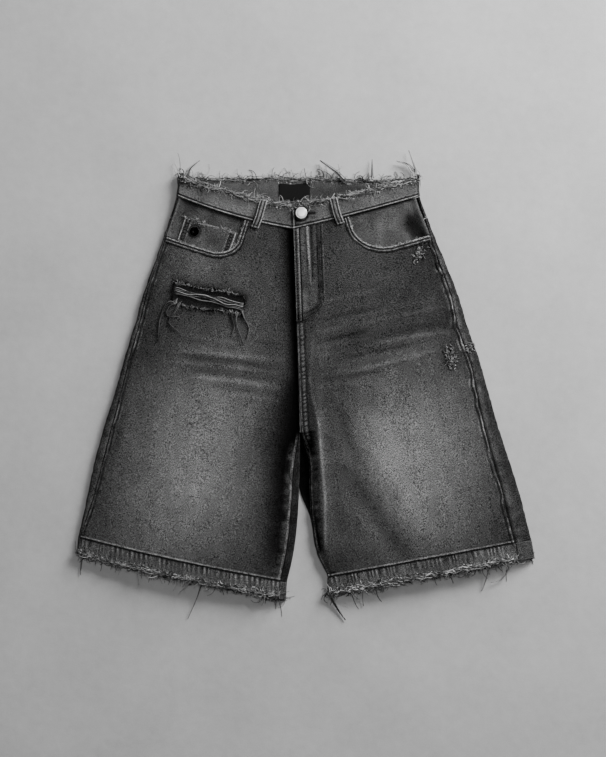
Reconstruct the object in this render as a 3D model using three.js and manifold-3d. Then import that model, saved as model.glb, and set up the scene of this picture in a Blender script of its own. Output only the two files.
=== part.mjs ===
// Wide denim shorts with raw, frayed edges, laid flat on their back with the front side up.
// Millimetres. +X is to the right as seen from above, +Y points to the waist, +Z is up.
// The underside rests on the plane z = 0, and the origin is below the middle of the laid outline.
import * as THREE from 'three';
import { mergeVertices } from 'three/addons/utils/BufferGeometryUtils.js';
import Module from 'manifold-3d';

const wasm = await Module();
wasm.setup();

// Cloth and seams
const CLOTH = 1.3; // one layer of washed denim
const BAND_CLOTH = 2.4; // the waistband, folded double
const HEM_CLOTH = 1.8; // the turned hem
const PATCH_CLOTH = 1.1; // fly, coin pocket and pocket facings
const LABEL_CLOTH = 0.8;
const GAP = 0.3; // clearance between pieces that are sewn or laid on each other
const SEAM = 0.5; // clearance across a seam between two panels
const BAND_PROUD = 0.5; // the waistband stands this much over the panels
const FOLD = 4.5; // outer radius of the folds at the sides and inseams

// Centre line of the front and back, from the waist seam to the crotch
const WAIST_CENTRE = { x: -20, y: 234 };
const CROTCH = { x: -9, y: -68 };

// Rows that the section tables share
const WAIST_SEAM = 1;
const CROTCH_ROW = 7;
const HEM_SEAM = 12;
const HEM_EDGE = 13;

// Each row is one section across half of the shorts, from the raw waist edge to the raw hem.
// outerX, outerY: the side fold. innerX, innerY: centre front, and below the crotch the inner fold.
// crown, centre: heights of the front at its middle and at its inner end.
// side, inseam: how far the two seams lie in from the folds. wrap: 1 where the inner side is folded.
// lift: height of the underside. bow: how far the section sags to the hem.
// backY: the back's extra rise.
const COLUMNS = ['outerX', 'outerY', 'innerX', 'innerY', 'crown', 'centre', 'side', 'inseam', 'wrap', 'lift',
  'bow', 'backY'];
const LEFT = table([
  [-191.5, 313, -21.5, 269.5, 17, 14.5, 2, 0, 0, 2.6, 5, 33.5],
  [-194.5, 284, -20, 234, 18.5, 14.5, 2, 0, 0, 2.4, 6, 37],
  [-208.5, 240, -18, 187, 20, 14, 2.5, 0, 0, 0, 5, 31],
  [-225.5, 190, -16, 135, 22, 14, 3.5, 0, 0, 0, 3, 24],
  [-243.5, 140, -14.5, 83, 24, 14, 4.5, 0, 0, 0, 2, 17],
  [-257.5, 90, -12.5, 32, 25, 13.5, 6, 0, 0, 0, 1, 10],
  [-273, 40, -11, -18, 25, 12, 7, 0, 0.25, 0, 0, 4],
  [-287, -10, -9, -68, 25, 9, 9, 1, 1, 0, 0, 0],
  [-302.5, -60, -9.5, -121, 25, 9, 11, 9, 1, 0, 0, 0],
  [-316.5, -110, -11, -172, 25, 9, 12, 11, 1, 0, 1, 0],
  [-327.5, -160, -15, -224, 24, 9, 10, 11.5, 1, 0, 2, 0],
  [-335, -198, -21, -262, 22, 9, 5, 11, 1, 0, 3, 0],
  [-342, -227, -28.5, -294.5, 20, 9, 3, 11, 1, 0, 3, 0],
  [-344.5, -250, -30, -318, 17, 9, 3, 12, 1, 0, 3, 0],
]);
const RIGHT = table([
  [169, 311.5, -21.5, 269.5, 17, 15, 2, 0, 0, 2.6, 4, 33.5],
  [170, 283.5, -20, 234, 18.5, 15, 3, 0, 0, 2.4, 2, 37],
  [186, 240, -18, 187, 20, 15, 5, 0, 0, 0, 3, 31],
  [206, 190, -16, 135, 22, 15, 8.5, 0, 0, 0, 2, 24],
  [226, 140, -14.5, 83, 24, 14.5, 10.5, 0, 0, 0, 1, 17],
  [241, 90, -12.5, 32, 25, 14, 15, 0, 0, 0, 0, 10],
  [259, 40, -11, -18, 25, 12, 14.5, 0, 0.25, 0, 0, 4],
  [273.5, -12, -9, -68, 25, 9, 18, 1, 1, 0, 0, 0],
  [287, -60, 3, -113, 25, 9, 21, 0.8, 1, 0, 0, 0],
  [303, -110, 4.5, -164, 25, 9, 23, 0.8, 1, 0, 0, 0],
  [319, -160, 8.5, -215, 24, 9, 25, 0.8, 1, 0, 0, 0],
  [329, -198, 16, -254, 22, 9, 26, 0.8, 1, 0, 0, 0],
  [337.5, -230.5, 31, -287, 20, 9, 26, 0.8, 1, 0, 0, 0],
  [342, -255, 31, -312, 17, 9, 26, 0.8, 1, 0, 0, 0],
]);

// Soft folds of the front, each a ridge or, below zero, a trough: two ends, half width and height
const FOLD_COLUMNS = ['fromX', 'fromY', 'toX', 'toY', 'width', 'height'];
const FRONT_FOLDS = table([
  [9, -20, 27, -235, 7, 2.6], // ridge beside the right inseam
  [60, -130, 150, -262, 16, -2.4], // trough across the lower right leg
  [95, -100, 185, -235, 18, 2],
  [-35, -110, -58, -270, 12, -2.6], // trough beside the left inseam
  [-175, 52, -70, 38, 8, 1.2], // creases across the lap
  [-168, 28, -50, 20, 7, -1.1],
  [40, 95, 190, 128, 9, 1.3],
  [50, 62, 205, 92, 8, -1.2],
  [35, 20, 150, 45, 8, 1.1],
  [-150, -120, -190, -235, 20, 1.6],
], FOLD_COLUMNS);

// Pocket mouths, cut down from the waist seam: width, depth in rows, corner size
const SCOOPS = {
  left: { half: LEFT, width: 107, depth: 2.33, corner: 34, drop: 0.55 },
  right: { half: RIGHT, width: 111, depth: 2.27, corner: 48, drop: 0.8 },
};
// Facings lie depth under the front's outer side. Past the mouth they run on by past, and by lap in
// rows from lapFrom inwards. One may gape into a hollow near the side.
const FACING = {
  depth: 3, settle: 14, past: 14, lap: 0.32, lapFrom: 20, lapRun: 16, hollowAt: 30, hollowWide: 24,
};
// Half the gap between two pieces that are sewn together, in rows
const ROW_SEAM = 0.01;
const COIN_POCKET = { near: 21, far: 101, top: 1.54, bottom: 2.5, under: 1.6 };
const STUD = { in: 41, row: 1.89, radius: 7, height: 1.7 };
const BUTTON = { out: 13.5, row: 0.48, radius: 8.6, height: 4.2 };
const FLY = { width: 45, row: 3.77, curve: 0.54 };
const LOOP = { width: 11.5, topIn: 132, bottomIn: 124.5, top: 0.04, bottom: 1.2, arch: 1.6 };
const LABEL = { left: -41, right: 5.5, top: 0.1, bottom: 0.86 };

// The rip across the left thigh: its two open slots, upper and lower edge, left to right
const RIP_SLOTS = [
  [[-196, 153], [-178, 149], [-149, 143], [-120, 140.5], [-93, 132], [-94, 126], [-121, 134], [-150, 137],
    [-179, 142], [-197, 147]],
  [[-199, 134], [-178, 126], [-149, 121.5], [-121, 120], [-97, 112], [-98, 105], [-121, 112.5], [-149, 114],
    [-178, 118.5], [-199, 127]],
];

// The rip's lower edge, and the loose threads: where they leave it and the way they lie on the leg
const RIP_EDGE = [[-195, 126], [-178, 118.5], [-149, 114], [-121, 112.5], [-101, 106]];
const RIP_THREADS = [
  { at: 0.02, path: [[-208, 124], [-219, 98], [-221, 66]] },
  { at: 0.05, path: [[-206, 117], [-209, 104], [-191, 103]] },
  { at: 0.12, path: [[-198, 108], [-207, 94], [-187, 78]] },
  { at: 0.9, path: [[-106, 98], [-103, 86], [-94, 61]] },
  { at: 0.97, path: [[-93, 100], [-85, 86], [-90, 69]] },
  { at: 0.84, path: [[-111, 99], [-107, 86], [-113, 70]] },
];

const lerp = THREE.MathUtils.lerp;
const clamp = THREE.MathUtils.clamp;
const smooth = (value) => THREE.MathUtils.smoothstep(value, 0, 1);

function table(rows, columns = COLUMNS) {
  return rows.map((row) => Object.fromEntries(columns.map((name, i) => [name, row[i]])));
}

// A repeatable stream of numbers from 0 to 1, for the frayed edges
function stream(seed) {
  let state = seed;
  return () => {
    state = (state * 1664525 + 1013904223) % 4294967296;
    return state / 4294967296;
  };
}

// One section of a half at any row, on a smooth curve through the table
function sectionAt(half, row) {
  const last = half.length - 1;
  const index = clamp(Math.floor(row), 0, last - 1);
  const part = row - index;
  const straight = row < 0 || row > HEM_SEAM;
  const section = {};
  for (const name of COLUMNS) {
    const [before, from, to, after] = [-1, 0, 1, 2].map((step) => half[clamp(index + step, 0, last)][name]);
    const curve = 0.5 * (2 * from + (to - before) * part
      + (2 * before - 5 * from + 4 * to - after) * part ** 2
      + (3 * from - before - 3 * to + after) * part ** 3);
    section[name] = straight ? lerp(from, to, part) : curve;
  }
  if (row <= CROTCH_ROW) {
    const down = (WAIST_CENTRE.y - section.innerY) / (WAIST_CENTRE.y - CROTCH.y);
    section.innerX = lerp(WAIST_CENTRE.x, CROTCH.x, down);
  }
  section.wrap = clamp(section.wrap, 0, 1);
  section.lift = Math.max(section.lift, 0);
  section.width = Math.hypot(section.innerX - section.outerX, section.innerY - section.outerY);
  section.reach = section.width - SEAM / 2;
  return section;
}

// Place in plan of a point that lies a distance in from the side fold
function planPoint(section, inward) {
  const share = inward / section.width;
  const sag = section.bow * 4 * share * (1 - share);
  return new THREE.Vector2(
    lerp(section.outerX, section.innerX, share),
    lerp(section.outerY, section.innerY, share) - (share > 0 ? sag : 0),
  );
}

// Height of the soft folds at a place in plan
function relief(x, y) {
  let height = 0;
  for (const fold of FRONT_FOLDS) {
    const along = new THREE.Vector2(fold.toX - fold.fromX, fold.toY - fold.fromY);
    const offset = new THREE.Vector2(x - fold.fromX, y - fold.fromY);
    const share = offset.dot(along) / along.lengthSq();
    const away = offset.cross(along) / along.length() / fold.width;
    const fade = smooth(share * 3 + 0.5) * smooth((1 - share) * 3 + 0.5);
    height += fold.height * fade * Math.exp(-away * away);
  }
  return height;
}

// Height of the upper layer: up the side fold, over the crown and down the inner fold
function topHeight(section, inward) {
  const edge = section.lift + 2 * FOLD;
  if (inward < FOLD) {
    return section.lift + FOLD + Math.sqrt(Math.max(0, FOLD ** 2 - (FOLD - inward) ** 2));
  }
  const innerFold = FOLD * section.wrap;
  const past = inward - (section.reach - innerFold);
  if (past > 0 && innerFold > 0) {
    return section.centre - innerFold + Math.sqrt(Math.max(0, innerFold ** 2 - past ** 2));
  }
  const share = clamp((inward - FOLD) / (section.reach - innerFold - FOLD), 0, 1);
  const base = lerp(edge, section.centre, share);
  const swell = section.crown - lerp(edge, section.centre, 0.5);
  return base + swell * (4 * share * (1 - share)) ** 0.8;
}

// A point of the upper layer's outer side
function topPoint(half, row, inward) {
  const section = sectionAt(half, row);
  const place = planPoint(section, inward);
  const flat = smooth((inward - FOLD) / 15) * smooth((section.reach - FOLD - inward) / 12);
  const height = topHeight(section, inward) + relief(place.x, place.y) * flat;
  return new THREE.Vector3(place.x, place.y, height);
}

// Stations along the back's section: over the side fold, under it, across and up the inner fold
const BACK_STATIONS = { side: 0.25, under: 0.45, across: 0.72 };

// A point of the lower layer's outer side, from the side seam round the fold and underneath
function backPoint(half, row, station) {
  const section = sectionAt(half, row);
  const { side, under, across } = BACK_STATIONS;
  let inward;
  let height;
  if (station < side) {
    inward = (section.side - SEAM / 2) * (1 - station / side) ** 2;
    const place = topPoint(half, row, inward);
    return place;
  }
  if (station < under) {
    const angle = (station - side) / (under - side) * Math.PI / 2;
    inward = FOLD * (1 - Math.cos(angle));
    height = section.lift + FOLD * (1 - Math.sin(angle));
  } else if (station < across) {
    inward = lerp(FOLD, section.reach - FOLD, (station - under) / (across - under));
    height = section.lift;
  } else {
    const end = innerFoldPoint(section, (station - across) / (1 - across));
    inward = end.inward;
    height = end.height;
  }
  const place = planPoint(section, inward);
  const risen = section.backY * smooth(inward / section.width);
  return new THREE.Vector3(place.x, place.y + risen, height);
}

// The lower layer's last stretch: flat to the centre back, or round the inner fold to the inseam
function innerFoldPoint(section, share) {
  const seam = Math.max(section.inseam - SEAM / 2, 0);
  const turn = seam < FOLD ? Math.PI - Math.asin((FOLD - seam) / FOLD) : Math.PI;
  const arc = FOLD * turn;
  const run = arc + Math.max(0, seam - FOLD);
  const travel = run * share;
  const middle = section.reach - FOLD;
  let inward = middle - (travel - arc);
  let height = topHeight(section, Math.min(inward, middle));
  if (travel <= arc) {
    const angle = travel / FOLD;
    inward = middle + FOLD * Math.sin(angle);
    height = FOLD * (1 - Math.cos(angle));
  }
  return {
    inward: lerp(middle + FOLD * share, inward, section.wrap),
    height: lerp(section.lift, height, section.wrap),
  };
}

// Direction that leaves a surface on its outer side
function outward(surface, u, v, side) {
  const step = 1e-3;
  const along = surface(Math.min(u + step, 1), v).sub(surface(Math.max(u - step, 0), v));
  const down = surface(u, Math.min(v + step, 1)).sub(surface(u, Math.max(v - step, 0)));
  return along.cross(down).normalize().multiplyScalar(side);
}

// Even stations from 0 to 1
function even(count) {
  return Array.from({ length: count + 1 }, (_, i) => i / count);
}

// Stations from 0 to 1 that are closer together at both ends
function closeAtEnds(count) {
  return even(count).map((u) => lerp(u, (1 - Math.cos(Math.PI * u)) / 2, 0.75));
}

// A closed wall of cloth under a surface. raise moves it out, and bump lifts its outer side only.
function wall(surface, { us, vs, side, thickness, raise = 0, bump = () => 0 }) {
  const positions = [];
  const layers = [[], []];
  for (const v of vs) {
    for (const u of us) {
      const point = surface(u, v);
      const out = outward(surface, u, v, side);
      const levels = [raise + bump(u, v), raise - thickness];
      levels.forEach((level, layer) => {
        layers[layer].push(positions.length / 3);
        positions.push(...point.clone().addScaledVector(out, level).toArray());
      });
    }
  }
  const faces = [];
  const quad = (a, b, c, d) => faces.push(...(side > 0 ? [a, b, c, a, c, d] : [a, c, b, a, d, c]));
  const wide = us.length;
  const tall = vs.length;
  const [outer, inner] = layers;
  for (let j = 0; j + 1 < tall; j++) {
    for (let i = 0; i + 1 < wide; i++) {
      const corners = [j * wide + i, j * wide + i + 1, (j + 1) * wide + i + 1, (j + 1) * wide + i];
      const [a, b, c, d] = corners;
      quad(outer[a], outer[b], outer[c], outer[d]);
      quad(inner[d], inner[c], inner[b], inner[a]);
    }
  }
  for (let i = 0; i + 1 < wide; i++) {
    const low = (tall - 1) * wide + i;
    quad(inner[i], inner[i + 1], outer[i + 1], outer[i]);
    quad(outer[low], outer[low + 1], inner[low + 1], inner[low]);
  }
  for (let j = 0; j + 1 < tall; j++) {
    const left = j * wide;
    const right = j * wide + wide - 1;
    quad(inner[left + wide], inner[left], outer[left], outer[left + wide]);
    quad(inner[right], inner[right + wide], outer[right + wide], outer[right]);
  }
  const geometry = new THREE.BufferGeometry();
  geometry.setAttribute('position', new THREE.Float32BufferAttribute(positions, 3));
  geometry.setIndex(faces);
  return geometry;
}

function toSolid(geometry) {
  const bare = geometry.clone();
  for (const name of Object.keys(bare.attributes)) {
    if (name !== 'position') bare.deleteAttribute(name);
  }
  const merged = mergeVertices(bare, 1e-4);
  return new wasm.Manifold(new wasm.Mesh({
    numProp: 3,
    vertProperties: new Float32Array(merged.attributes.position.array),
    triVerts: new Uint32Array(merged.index.array),
  }));
}

function toGeometry(solid) {
  const mesh = solid.getMesh();
  const geometry = new THREE.BufferGeometry();
  geometry.setAttribute('position', new THREE.Float32BufferAttribute(mesh.vertProperties, 3));
  geometry.setIndex(Array.from(mesh.triVerts));
  return geometry;
}

// An upright cutter with the given outline in plan
function cutter(outline) {
  const shape = new THREE.Shape(outline.map(([x, y]) => new THREE.Vector2(x, y)));
  const height = 60;
  const prism = new THREE.ExtrudeGeometry(shape, { depth: height, bevelEnabled: false });
  prism.translate(0, 0, -height / 4);
  return toSolid(prism);
}

const group = new THREE.Group();
const COLOURS = {
  denim: [0x46474a, 0.92, 0],
  inside: [0x2c2d30, 0.95, 0],
  fray: [0x8a8b8d, 0.95, 0],
  label: [0x141416, 0.8, 0],
  button: [0xe8e8ea, 0.3, 1],
  stud: [0x1b1b1d, 0.45, 1],
};

function add(name, geometry, finish) {
  const [color, roughness, metalness] = COLOURS[finish];
  geometry.computeVertexNormals();
  const mesh = new THREE.Mesh(geometry, new THREE.MeshStandardMaterial({ color, roughness, metalness }));
  mesh.name = name;
  group.add(mesh);
}

// Outline of a pocket mouth in plan, run out past the waist seam and the side seam
function scoopOutline({ half, width, depth, corner, drop }) {
  const at = (row, inward) => planPoint(sectionAt(half, row), inward).toArray();
  const outline = [at(0.7, -25), at(0.7, width - 2), at(WAIST_SEAM, width)];
  for (const turn of even(8)) {
    const angle = turn * Math.PI / 2;
    outline.push(at(depth - drop * (1 - Math.sin(angle)), width - corner * (1 - Math.cos(angle))));
  }
  outline.push(at(depth, width * 0.35), at(depth, 14), at(depth, -25));
  return outline;
}

// Rows where neighbouring panels share their points along a seam
const PANEL_ROWS = [
  ...even(8).map((share) => lerp(WAIST_SEAM, CROTCH_ROW, share)),
  ...even(7).slice(1).map((share) => lerp(CROTCH_ROW, HEM_SEAM, share)),
];
const YOKE_FREE = 3; // panel rows from this one on run straight across the back

// A front panel runs from the side seam to the centre front and, below the crotch, to the inseam
function frontSurface(half) {
  return (u, v) => {
    const row = clamp(panelRow(v), WAIST_SEAM + ROW_SEAM, HEM_SEAM - ROW_SEAM);
    const section = sectionAt(half, row);
    const inner = Math.max(section.inseam, 0);
    return topPoint(half, row, lerp(section.side + SEAM / 2, section.reach - inner - SEAM / 2, u));
  };
}

// The section row at a share of the way down the panel rows
function panelRow(v) {
  const place = v * (PANEL_ROWS.length - 1);
  const index = Math.min(Math.floor(place), PANEL_ROWS.length - 2);
  return lerp(PANEL_ROWS[index], PANEL_ROWS[index + 1], place - index);
}

function frontPanel(name, half, side, cutters) {
  const grid = { us: closeAtEnds(15), vs: even(15) };
  let solid = toSolid(wall(frontSurface(half), { ...grid, side, thickness: CLOTH }));
  for (const outline of cutters) solid = solid.subtract(cutter(outline));
  add(name, toGeometry(solid), 'denim');
}

// The yoke tapers from the centre back to the side seam, and the back panel starts below it
const YOKE = { sideRow: 1.75, centreRow: 2.75 };
const BACK_COLUMNS = [0, 0.08, 0.16, 0.21, 0.25, 0.32, 0.385, 0.45, 0.54, 0.63, 0.72, 0.79, 0.86, 0.93, 1];

function yokeRow(station) {
  const { under, across } = BACK_STATIONS;
  return lerp(YOKE.sideRow, YOKE.centreRow, clamp((station - under) / (across - under), 0, 1));
}

function backPanel(name, half, side) {
  const last = PANEL_ROWS.length - 1;
  const surface = (u, v) => {
    const place = 1 + v * (last - 1);
    const free = lerp(yokeRow(u), PANEL_ROWS[YOKE_FREE], (place - 1) / (YOKE_FREE - 1));
    const row = place < YOKE_FREE ? free : panelRow(place / last);
    return backPoint(half, clamp(row, yokeRow(u) + ROW_SEAM, HEM_SEAM - ROW_SEAM), u);
  };
  add(name, wall(surface, { us: BACK_COLUMNS, vs: even(last - 1), side, thickness: CLOTH }), 'denim');
}

function yoke(name, half, side) {
  const surface = (u, v) => backPoint(half, lerp(WAIST_SEAM + ROW_SEAM, yokeRow(u) - ROW_SEAM, v), u);
  add(name, wall(surface, { us: BACK_COLUMNS, vs: even(3), side, thickness: CLOTH }), 'denim');
}

// The raw top edge of the waistband wanders by a millimetre or two; reach is in rows
const RAW_EDGE = { steps: 38, reach: 0.09 };

function rawEdge(seed) {
  const next = stream(seed);
  const steps = Array.from({ length: RAW_EDGE.steps + 2 }, () => (next() - 0.5) * RAW_EDGE.reach);
  return (u) => {
    const place = clamp(u, 0, 1) * RAW_EDGE.steps;
    const index = Math.floor(place);
    return lerp(steps[index], steps[index + 1], place - index);
  };
}

const RAGGED = { left: rawEdge(3), right: rawEdge(4), back: rawEdge(5) };
const BAND_STEPS = 26;
const BACK_TOP = -0.16; // row of the back's raw edge, which stands higher than the front's

// A point of the front band; from is the row of its upper edge
function bandPoint(half, u, row) {
  const section = sectionAt(half, row);
  return topPoint(half, row, lerp(section.side + SEAM / 2, section.reach, u));
}

function frontBand(name, half, side, ragged) {
  const surface = (u, v) => bandPoint(half, u, lerp(ragged(u), WAIST_SEAM - ROW_SEAM, v));
  add(name, wall(surface, {
    us: even(BAND_STEPS), vs: even(2), side, thickness: BAND_CLOTH, raise: BAND_PROUD,
  }), 'denim');
}

// The back band is one length, from side seam to side seam underneath
function bandBackPoint(u, row) {
  if (u === 0.5) {
    const section = sectionAt(LEFT, row);
    return new THREE.Vector3(section.innerX, section.innerY + section.backY, section.lift);
  }
  return u < 0.5 ? backPoint(LEFT, row, 2 * u) : backPoint(RIGHT, row, 2 * (1 - u));
}

const backBandStations = [
  ...BACK_COLUMNS.map((station) => station / 2),
  ...BACK_COLUMNS.slice(0, -1).map((station) => 1 - station / 2).reverse(),
];

function backBand() {
  const surface = (u, v) => bandBackPoint(u, lerp(BACK_TOP + RAGGED.back(u), WAIST_SEAM - ROW_SEAM, v));
  add('waistband_back', wall(surface, {
    us: backBandStations, vs: even(2), side: 1, thickness: BAND_CLOTH, raise: BAND_PROUD,
  }), 'denim');
}

function label() {
  const surface = (u, v) => {
    const row = lerp(LABEL.top, LABEL.bottom, v);
    const x = lerp(LABEL.left, LABEL.right, u);
    const section = sectionAt(x < WAIST_CENTRE.x ? LEFT : RIGHT, row);
    const share = (x - section.outerX) / (section.innerX - section.outerX);
    const place = planPoint(section, share * section.width);
    return new THREE.Vector3(x, place.y + section.backY, section.lift);
  };
  const raise = BAND_PROUD - BAND_CLOTH - GAP;
  add('waist_label', wall(surface, {
    us: even(6), vs: even(2), side: 1, thickness: LABEL_CLOTH, raise,
  }), 'label');
}

// The facing closes the pocket mouth from beneath. It meets the side seam flush and dips inwards.
function facing(name, { half, width, depth }, side, dip) {
  const surface = (u, v) => {
    const inward = lerp(sectionAt(half, depth).side + SEAM, width + FACING.past, u);
    const lap = FACING.lap * smooth((inward - FACING.lapFrom) / FACING.lapRun);
    const row = lerp(WAIST_SEAM + 2 * ROW_SEAM, depth - 2 * ROW_SEAM + lap, v);
    const under = FACING.depth * smooth((inward - 4) / FACING.settle);
    const across = Math.exp(-(((inward - FACING.hollowAt) / FACING.hollowWide) ** 2));
    const hollow = dip * across * smooth(v * 2.2) * smooth((inward - 6) / FACING.settle);
    const point = topPoint(half, row, inward);
    point.z -= under + hollow;
    return point;
  };
  add(name, wall(surface, { us: even(14), vs: even(5), side, thickness: PATCH_CLOTH }), 'denim');
}

function coinPocket() {
  const { near, far, top, bottom, under } = COIN_POCKET;
  const surface = (u, v) => {
    const point = topPoint(LEFT, lerp(top, bottom, v), lerp(near, far, u));
    point.z -= under;
    return point;
  };
  add('coin_pocket', wall(surface, { us: even(10), vs: even(4), side: -1, thickness: PATCH_CLOTH }), 'denim');
}

// Turned outlines, in shares of the radius and the height
const BUTTON_PROFILE = [
  [0, 0], [0.72, 0], [0.78, 0.4], [0.95, 0.45], [1, 0.62], [0.95, 0.82], [0.7, 0.97], [0, 1],
];
const STUD_PROFILE = [[0, 0], [1, 0], [1, 0.5], [0.9, 1], [0.66, 1], [0.58, 0.75], [0, 0.75]];

// Round metal pieces are turned profiles, tipped to lie on the cloth below them
function seat(geometry, surface, u, v, side, raise) {
  const out = outward(surface, u, v, side);
  const turn = new THREE.Quaternion().setFromUnitVectors(new THREE.Vector3(0, 1, 0), out);
  const place = surface(u, v).addScaledVector(out, raise);
  geometry.applyQuaternion(turn);
  geometry.translate(place.x, place.y, place.z);
  return geometry;
}

function lathe(profile, steps) {
  const outline = profile.map(([r, h]) => new THREE.Vector2(r, h));
  return toGeometry(toSolid(new THREE.LatheGeometry(outline, steps)));
}

function button() {
  const { radius, height, out, row } = BUTTON;
  const profile = BUTTON_PROFILE.map(([r, h]) => [radius * r, height * h]);
  const surface = (u, v) => topPoint(RIGHT, v, sectionAt(RIGHT, v).reach - 2 * out * u);
  add('button', seat(lathe(profile, 22), surface, 0.5, row, -1, BAND_PROUD + GAP), 'button');
}

function stud() {
  const { radius, height } = STUD;
  const profile = STUD_PROFILE.map(([r, h]) => [radius * r, height * h]);
  const surface = (u, v) => topPoint(LEFT, 2 * STUD.row * v, 2 * STUD.in * u);
  const raise = GAP - COIN_POCKET.under;
  add('coin_pocket_stud', seat(lathe(profile, 18), surface, 0.5, 0.5, -1, raise), 'stud');
}

function fly() {
  const surface = (u, v) => {
    const out = lerp(SEAM, FLY.width, u);
    const end = FLY.row - FLY.curve * (1 - Math.sqrt(1 - (out / (FLY.width + 1)) ** 2));
    const row = lerp(WAIST_SEAM + 2 * ROW_SEAM, end, v);
    return topPoint(RIGHT, row, sectionAt(RIGHT, row).reach - out);
  };
  const us = [0, 0.1, 0.3, 0.5, 0.7, 0.85, 0.94, 1];
  add('fly', wall(surface, { us, vs: even(8), side: -1, thickness: PATCH_CLOTH, raise: GAP + PATCH_CLOTH }),
    'denim');
}

// A belt loop stands clear of the band between its two sewn ends
function frontLoop(name, half, side) {
  const surface = (u, v) => {
    const row = lerp(LOOP.top, LOOP.bottom, v);
    const middle = lerp(LOOP.topIn, LOOP.bottomIn, v);
    return topPoint(half, row, middle + LOOP.width * (u - 0.5));
  };
  const arch = (u, v) => LOOP.arch * Math.sin(Math.PI * v) ** 0.6;
  const raised = (u, v) => surface(u, v).addScaledVector(new THREE.Vector3(0, 0, 1), arch(u, v));
  add(name, wall(raised, {
    us: even(2), vs: even(10), side, thickness: CLOTH, raise: BAND_PROUD + 3 * GAP + CLOTH,
  }), 'denim');
}

const BACK_LOOP_ROWS = { top: 0.02, bottom: 0.95 };

function backLoop(name, centre) {
  const half = LOOP.width / 2;
  const surface = (u, v) => {
    const row = lerp(BACK_LOOP_ROWS.top, BACK_LOOP_ROWS.bottom, v);
    const x = centre + lerp(-half, half, u);
    const section = sectionAt(x < WAIST_CENTRE.x ? LEFT : RIGHT, row);
    const inward = section.width * (x - section.outerX) / (section.innerX - section.outerX);
    const risen = section.backY * smooth(inward / section.width);
    return new THREE.Vector3(x, planPoint(section, inward).y + risen, section.lift);
  };
  add(name, wall(surface, {
    us: even(2), vs: even(2), side: 1, thickness: CLOTH, raise: BAND_PROUD + GAP + CLOTH,
  }), 'denim');
}

// Hem bands: the front one is puckered into small uneven ribs, and the back one lies flat
const HEM_PLEATS = 38;
const BACK_HEM_PAST = 0.15; // rows by which the back's raw edge shows past the front's

function frontHemSurface(half) {
  return (u, v) => {
    const row = lerp(HEM_SEAM + ROW_SEAM, HEM_EDGE, v);
    const section = sectionAt(half, row);
    return topPoint(half, row, lerp(section.side + SEAM / 2, section.reach - section.inseam - SEAM / 2, u));
  };
}

function pleats(seed) {
  const next = stream(seed);
  const cuts = Array.from({ length: 2 * HEM_PLEATS + 1 }, (_, i) => (
    i % (2 * HEM_PLEATS) === 0 ? i : i + (next() - 0.5) * 0.7
  ));
  const heights = cuts.map((_, i) => (i % 2 ? 0.5 + 0.7 * next() : 0));
  return { us: cuts.map((cut) => cut / (2 * HEM_PLEATS)), heights };
}

function frontHem(name, half, side, seed) {
  const { us, heights } = pleats(seed);
  const bump = (u, v) => heights[us.indexOf(u)] * (0.35 + 0.65 * v);
  add(name, wall(frontHemSurface(half), { us, vs: [0, 1], side, thickness: HEM_CLOTH, bump }), 'denim');
}

function backHem(name, half, side) {
  const surface = (u, v) => backPoint(half, lerp(HEM_SEAM + ROW_SEAM, HEM_EDGE + BACK_HEM_PAST, v), u);
  add(name, wall(surface, { us: BACK_COLUMNS, vs: even(2), side, thickness: HEM_CLOTH }), 'denim');
}

// One thread or lock of threads: a tapered three-sided tube along a curve, closed at both ends
function thread(points, radius, steps) {
  const curve = new THREE.CatmullRomCurve3(points);
  const frames = curve.computeFrenetFrames(steps, false);
  const positions = [];
  for (let i = 0; i < steps; i++) {
    const centre = curve.getPoint(i / steps);
    const thick = radius * (1 - 0.45 * i / steps);
    for (let k = 0; k < 3; k++) {
      const angle = k * 2 * Math.PI / 3;
      const spoke = frames.normals[i].clone().multiplyScalar(Math.cos(angle) * thick);
      spoke.addScaledVector(frames.binormals[i], Math.sin(angle) * thick);
      positions.push(...centre.clone().add(spoke).toArray());
    }
  }
  positions.push(...curve.getPoint(1).toArray());
  const faces = [0, 2, 1];
  for (let i = 0; i + 1 < steps; i++) {
    for (let k = 0; k < 3; k++) {
      const [a, b] = [3 * i + k, 3 * i + (k + 1) % 3];
      faces.push(a, b, b + 3, a, b + 3, a + 3);
    }
  }
  const ring = 3 * (steps - 1);
  for (let k = 0; k < 3; k++) faces.push(ring + k, ring + (k + 1) % 3, 3 * steps);
  const geometry = new THREE.BufferGeometry();
  geometry.setAttribute('position', new THREE.Float32BufferAttribute(positions, 3));
  geometry.setIndex(faces);
  return toSolid(geometry);
}

// Lowest height that a loose thread may reach
const THREAD_FLOOR = 0.9;

// A lock that leaves its root along a heading, bends to one side and droops
function lock(root, heading, { length, bend, droop, radius = 0.42 }) {
  const across = new THREE.Vector3(-heading.y, heading.x, 0).normalize();
  const points = [-0.6 / length, 0.35, 0.7, 1].map((share) => {
    const point = root.clone().addScaledVector(heading, length * share);
    point.addScaledVector(across, bend * length * Math.max(share, 0) ** 2);
    point.z = Math.max(THREAD_FLOOR, point.z - droop * length * Math.max(share, 0) ** 2);
    return point;
  });
  return thread(points, radius, 2);
}

// A fringe: a narrow strip parted from the cloth's raw edge, with locks fused to it
function fringe(name, strip, locks) {
  let solid = toSolid(strip);
  for (const one of locks) solid = solid.add(one);
  add(name, toGeometry(solid), 'fray');
}

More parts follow.
